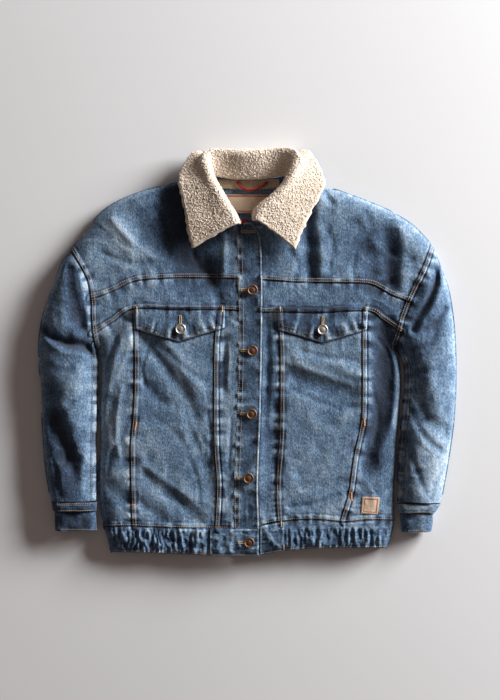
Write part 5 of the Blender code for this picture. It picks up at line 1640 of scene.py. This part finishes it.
# ------------------------------------------------------------------ materials
class Nodes:
    """Short hand for building one material."""

    def __init__(self, name):
        self.look = bpy.data.materials.new(name)
        self.look.use_nodes = True
        self.tree = self.look.node_tree
        self.tree.nodes.clear()
        self.out = self.tree.nodes.new("ShaderNodeOutputMaterial")
        self.shader = self.tree.nodes.new("ShaderNodeBsdfPrincipled")
        self.tree.links.new(self.shader.outputs[0], self.out.inputs[0])

    def add(self, kind, **values):
        node = self.tree.nodes.new(kind)
        for key, value in values.items():
            setattr(node, key, value)
        return node

    def plug(self, source, target):
        if isinstance(source, (int, float, tuple)):
            target.default_value = source
        else:
            self.tree.links.new(source, target)

    def attribute(self, name, output="Fac"):
        return self.add("ShaderNodeAttribute", attribute_name=name).outputs[output]

    def math(self, operation, a, b=0.0, clamp=False):
        node = self.add("ShaderNodeMath", operation=operation, use_clamp=clamp)
        self.plug(a, node.inputs[0])
        self.plug(b, node.inputs[1])
        return node.outputs[0]

    def noise(self, vector, scale, detail=2.0, rough=0.5):
        node = self.add("ShaderNodeTexNoise")
        self.plug(vector, node.inputs["Vector"])
        node.inputs["Scale"].default_value = scale
        node.inputs["Detail"].default_value = detail
        node.inputs["Roughness"].default_value = rough
        return node.outputs["Fac"]

    def mapped(self, vector, scale, turn=0.0):
        node = self.add("ShaderNodeMapping")
        self.plug(vector, node.inputs["Vector"])
        node.inputs["Scale"].default_value = scale
        node.inputs["Rotation"].default_value = (0, 0, turn)
        return node.outputs[0]

    def ramp(self, value, stops):
        node = self.add("ShaderNodeValToRGB")
        self.plug(value, node.inputs[0])
        elements = node.color_ramp.elements
        while len(elements) < len(stops):
            elements.new(0.5)
        for element, (place, colour) in zip(elements, stops):
            element.position, element.color = place, (*colour, 1.0)
        return node.outputs[0]

    def mix(self, factor, a, b, blend="MIX"):
        node = self.add("ShaderNodeMix", data_type="RGBA", blend_type=blend)
        self.plug(factor, node.inputs[0])
        for value, socket in ((a, node.inputs[6]), (b, node.inputs[7])):
            self.plug((*value, 1.0) if isinstance(value, tuple) else value, socket)
        return node.outputs[2]

    def bump(self, height, depth, strength=1.0, normal=None):
        node = self.add("ShaderNodeBump")
        node.inputs["Strength"].default_value = strength
        node.inputs["Distance"].default_value = depth
        self.plug(height, node.inputs["Height"])
        if normal is not None:
            self.plug(normal, node.inputs["Normal"])
        return node.outputs[0]

    def finish(self, colour, rough, normal=None, **fixed):
        self.plug((*colour, 1.0) if isinstance(colour, tuple) else colour, self.shader.inputs["Base Color"])
        self.plug(rough, self.shader.inputs["Roughness"])
        if normal is not None:
            self.plug(normal, self.shader.inputs["Normal"])
        for key, value in fixed.items():
            self.shader.inputs[key.replace("_", " ")].default_value = value
        return self.look


DENIM_STOPS = [
    # wear and painted shade, colour: from unwashed indigo to the white core of the yarn
    (0.0, (0.010, 0.019, 0.042)), (0.22, (0.028, 0.066, 0.138)), (0.45, (0.115, 0.200, 0.312)),
    (0.7, (0.330, 0.430, 0.535)), (1.0, (0.680, 0.745, 0.790)),
]
PILE_STOPS = [
    # height in the pile, colour: painted shade, darker low between the locks, paler on their tops
    (0.0, (0.470, 0.335, 0.235)), (0.35, (0.700, 0.570, 0.450)), (0.65, (0.830, 0.730, 0.620)),
    (1.0, (0.880, 0.810, 0.730)),
]
TWILL_LEAN = math.radians(28)


def denim():
    """Washed twill: wear and painted light and shade, heathered yarn and slubs set how dark the indigo shows.
    """
    n = Nodes("denim")
    way = n.attribute("grain", "Vector")
    wear = n.attribute("wear")
    heather = n.noise(n.mapped(way, (1.0, 0.32, 1.0)), 780, 2.0, 0.6)
    slub = n.noise(n.mapped(way, (1.0, 0.09, 1.0)), 420, 2.0, 0.55)
    cloud = n.noise(way, 46, 3.0, 0.6)
    patchy = n.noise(way, 150, 2.0, 0.6)
    level = n.math("MULTIPLY", wear, 0.42)
    for value, share in ((heather, 0.92), (slub, 0.40), (cloud, 0.18), (patchy, 0.26)):
        level = n.math("ADD", level, n.math("MULTIPLY", n.math("SUBTRACT", value, 0.5), share))
    level = n.math("ADD", level, 0.40, clamp=True)
    colour = n.ramp(level, DENIM_STOPS)
    twill = n.add("ShaderNodeTexWave", wave_type="BANDS", bands_direction="X", wave_profile="SIN")
    n.plug(n.mapped(way, (1.0, 1.0, 1.0), TWILL_LEAN), twill.inputs["Vector"])
    twill.inputs["Scale"].default_value = 340
    twill.inputs["Distortion"].default_value = 1.2
    twill.inputs["Detail"].default_value = 1.0
    colour = n.mix(n.math("MULTIPLY", twill.outputs["Fac"], 0.09), colour, (0.36, 0.43, 0.50), "MIX")
    fine = n.bump(twill.outputs["Fac"], 0.00016)
    rough = n.bump(heather, 0.00035, normal=fine)
    soft = n.bump(n.noise(way, 210, 3.0, 0.55), 0.0009, normal=rough)
    return n.finish(colour, 0.86, soft, Sheen_Weight=0.12, Sheen_Roughness=0.5, Specular_IOR_Level=0.25)


def sherpa():
    n = Nodes("sherpa")
    tip, tone = n.attribute("tip"), n.attribute("tone")
    where = n.add("ShaderNodeTexCoord").outputs["Object"]
    fibre = n.noise(where, 900, 3.0, 0.65)
    # The tip attribute is painted shade: darker low in the pile
    level = n.math("ADD", n.math("MULTIPLY", tip, 0.8),
                   n.math("MULTIPLY", n.math("SUBTRACT", fibre, 0.5), 0.35))
    level = n.math("ADD", level, n.math("MULTIPLY", n.math("SUBTRACT", tone, 0.5), 0.16), clamp=True)
    colour = n.ramp(level, PILE_STOPS)
    return n.finish(colour, 0.95, n.bump(fibre, 0.0004), Sheen_Weight=0.3, Sheen_Roughness=0.6,
                    Specular_IOR_Level=0.15)


def thread(name, colour):
    n = Nodes(f"thread_{name}")
    where = n.add("ShaderNodeTexCoord").outputs["Object"]
    shade = n.noise(where, 260, 2.0, 0.6)
    dark = tuple(0.55 * c for c in colour)
    return n.finish(n.mix(shade, dark, tuple(min(1.0, 1.25 * c) for c in colour)), 0.7, Sheen_Weight=0.1,
                    Specular_IOR_Level=0.3)


def woven(name, colour, scale=1100, dark=0.72):
    n = Nodes(name)
    way = n.attribute("grain", "Vector")
    weave = n.noise(way, scale, 2.0, 0.6)
    low = tuple(dark * c for c in colour)
    return n.finish(n.mix(weave, low, colour), 0.85, n.bump(weave, 0.0004), Sheen_Weight=0.1,
                    Specular_IOR_Level=0.25)


def label_cloth():
    """Plain woven label with a red border line and no words."""
    n = Nodes("label")
    way = n.attribute("grain", "Vector")
    border = n.attribute("border")
    weave = n.noise(way, 1300, 2.0, 0.6)
    ground = n.mix(weave, (0.58, 0.42, 0.29), (0.78, 0.62, 0.47))
    inside = n.math("MULTIPLY", n.math("GREATER_THAN", border, 2.6), n.math("LESS_THAN", border, 4.2))
    colour = n.mix(n.math("MULTIPLY", inside, 0.85), ground, (0.40, 0.05, 0.035))
    return n.finish(colour, 0.8, n.bump(weave, 0.0003), Specular_IOR_Level=0.25)


def metal(name, bright, dull, rough):
    n = Nodes(name)
    where = n.add("ShaderNodeTexCoord").outputs["Object"]
    worn = n.attribute("worn")
    stain = n.noise(where, 420, 3.0, 0.6)
    level = n.math("ADD", n.math("MULTIPLY", stain, 0.8), n.math("MULTIPLY", worn, 0.45), clamp=True)
    colour = n.ramp(level, [(0.25, dull), (0.85, bright)])
    return n.finish(colour, n.math("SUBTRACT", rough, n.math("MULTIPLY", worn, 0.12)), n.bump(stain, 0.00012),
                    Metallic=0.9)


DENIM = denim()
SHERPA = sherpa()
LABEL = label_cloth()
RED = woven("red_trim", (0.56, 0.045, 0.035), 700, 0.6)
TAPE = woven("neck_tape", (0.66, 0.50, 0.36), 700, 0.7)
COPPER = metal("copper", (0.30, 0.17, 0.11), (0.12, 0.062, 0.040), 0.58)
SILVER = metal("silver", (0.86, 0.82, 0.76), (0.50, 0.46, 0.42), 0.45)
THREADS = {"tan": thread("tan", (0.52, 0.41, 0.29)), "gold": thread("gold", (0.52, 0.38, 0.22)),
           "dull": thread("dull", (0.26, 0.20, 0.14)),
           "orange": thread("orange", (0.72, 0.27, 0.07)), "red": thread("red", (0.45, 0.05, 0.04))}


# ------------------------------------------------------------------ stage
# Metres.  The camera looks straight down, a little off the frame's origin.
CAMERA_PLACE = (0.00315, 0.00205, 2.6)
VIEW_HEIGHT = 1.155             # of the surface, from the top of the picture to its bottom
SENSOR = 24
LAMP_PLACE, LAMP_SIZE, LAMP_WATTS = (3.343, 2.009, 1.045), (2.4, 1.0), 470
AMBIENT, AMBIENT_STRENGTH = (1.0, 0.79, 0.71, 1.0), 0.12
FLOOR_COLOURS = (0.795, 0.80, 0.81), (0.83, 0.835, 0.845)


def stage():
    """Pale floor, one low window from the upper right, and the camera above."""
    bpy.ops.mesh.primitive_plane_add(size=8, location=(0, 0, -0.0004))
    floor = bpy.context.object
    floor.name = "floor"
    n = Nodes("floor")
    tone = n.noise(n.add("ShaderNodeTexCoord").outputs["Object"], 3.0, 2.0, 0.5)
    floor.data.materials.append(n.finish(n.mix(tone, *FLOOR_COLOURS), 0.9, Specular_IOR_Level=0.1))

    scene = bpy.context.scene
    scene.world = scene.world or bpy.data.worlds.new("world")
    scene.world.use_nodes = True
    back = scene.world.node_tree.nodes["Background"]
    back.inputs[0].default_value, back.inputs[1].default_value = AMBIENT, AMBIENT_STRENGTH

    lamp = bpy.data.lights.new("window", "AREA")
    lamp.shape, (lamp.size, lamp.size_y), lamp.energy = "RECTANGLE", LAMP_SIZE, LAMP_WATTS
    key = linked("window", lamp)
    key.location = LAMP_PLACE
    key.rotation_euler = (-key.location).to_track_quat("-Z", "Y").to_euler()

    lens = bpy.data.cameras.new("camera")
    lens.sensor_fit, lens.sensor_height = "VERTICAL", SENSOR
    lens.lens, lens.clip_end = SENSOR * CAMERA_PLACE[2] / VIEW_HEIGHT, 20
    eye = linked("camera", lens)
    eye.location = CAMERA_PLACE
    scene.camera = eye
    scene.view_settings.view_transform = "Standard"


# ------------------------------------------------------------------ assembly
BACK_NODES = ("back_panel", "sleeve_under", "hem_back")


def slots():
    for name, obj in PIECES.items():
        if name.endswith(".cloth") and "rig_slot" not in obj:
            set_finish(obj, "denim_back" if name.startswith(BACK_NODES) else "denim")
        elif name.startswith("stitches"):
            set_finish(obj, "label" if "neck" in name else "denim")


body_front()
placket()
back_panel()
hem_band()
sleeves()
cuffs()
collar()
flaps()
buttons()
neck_tape()
neck_labels()
hanger_loop()
side_patch()
seam_stitches()
holes_and_tacks()
build_stitches()
slots()
stage()
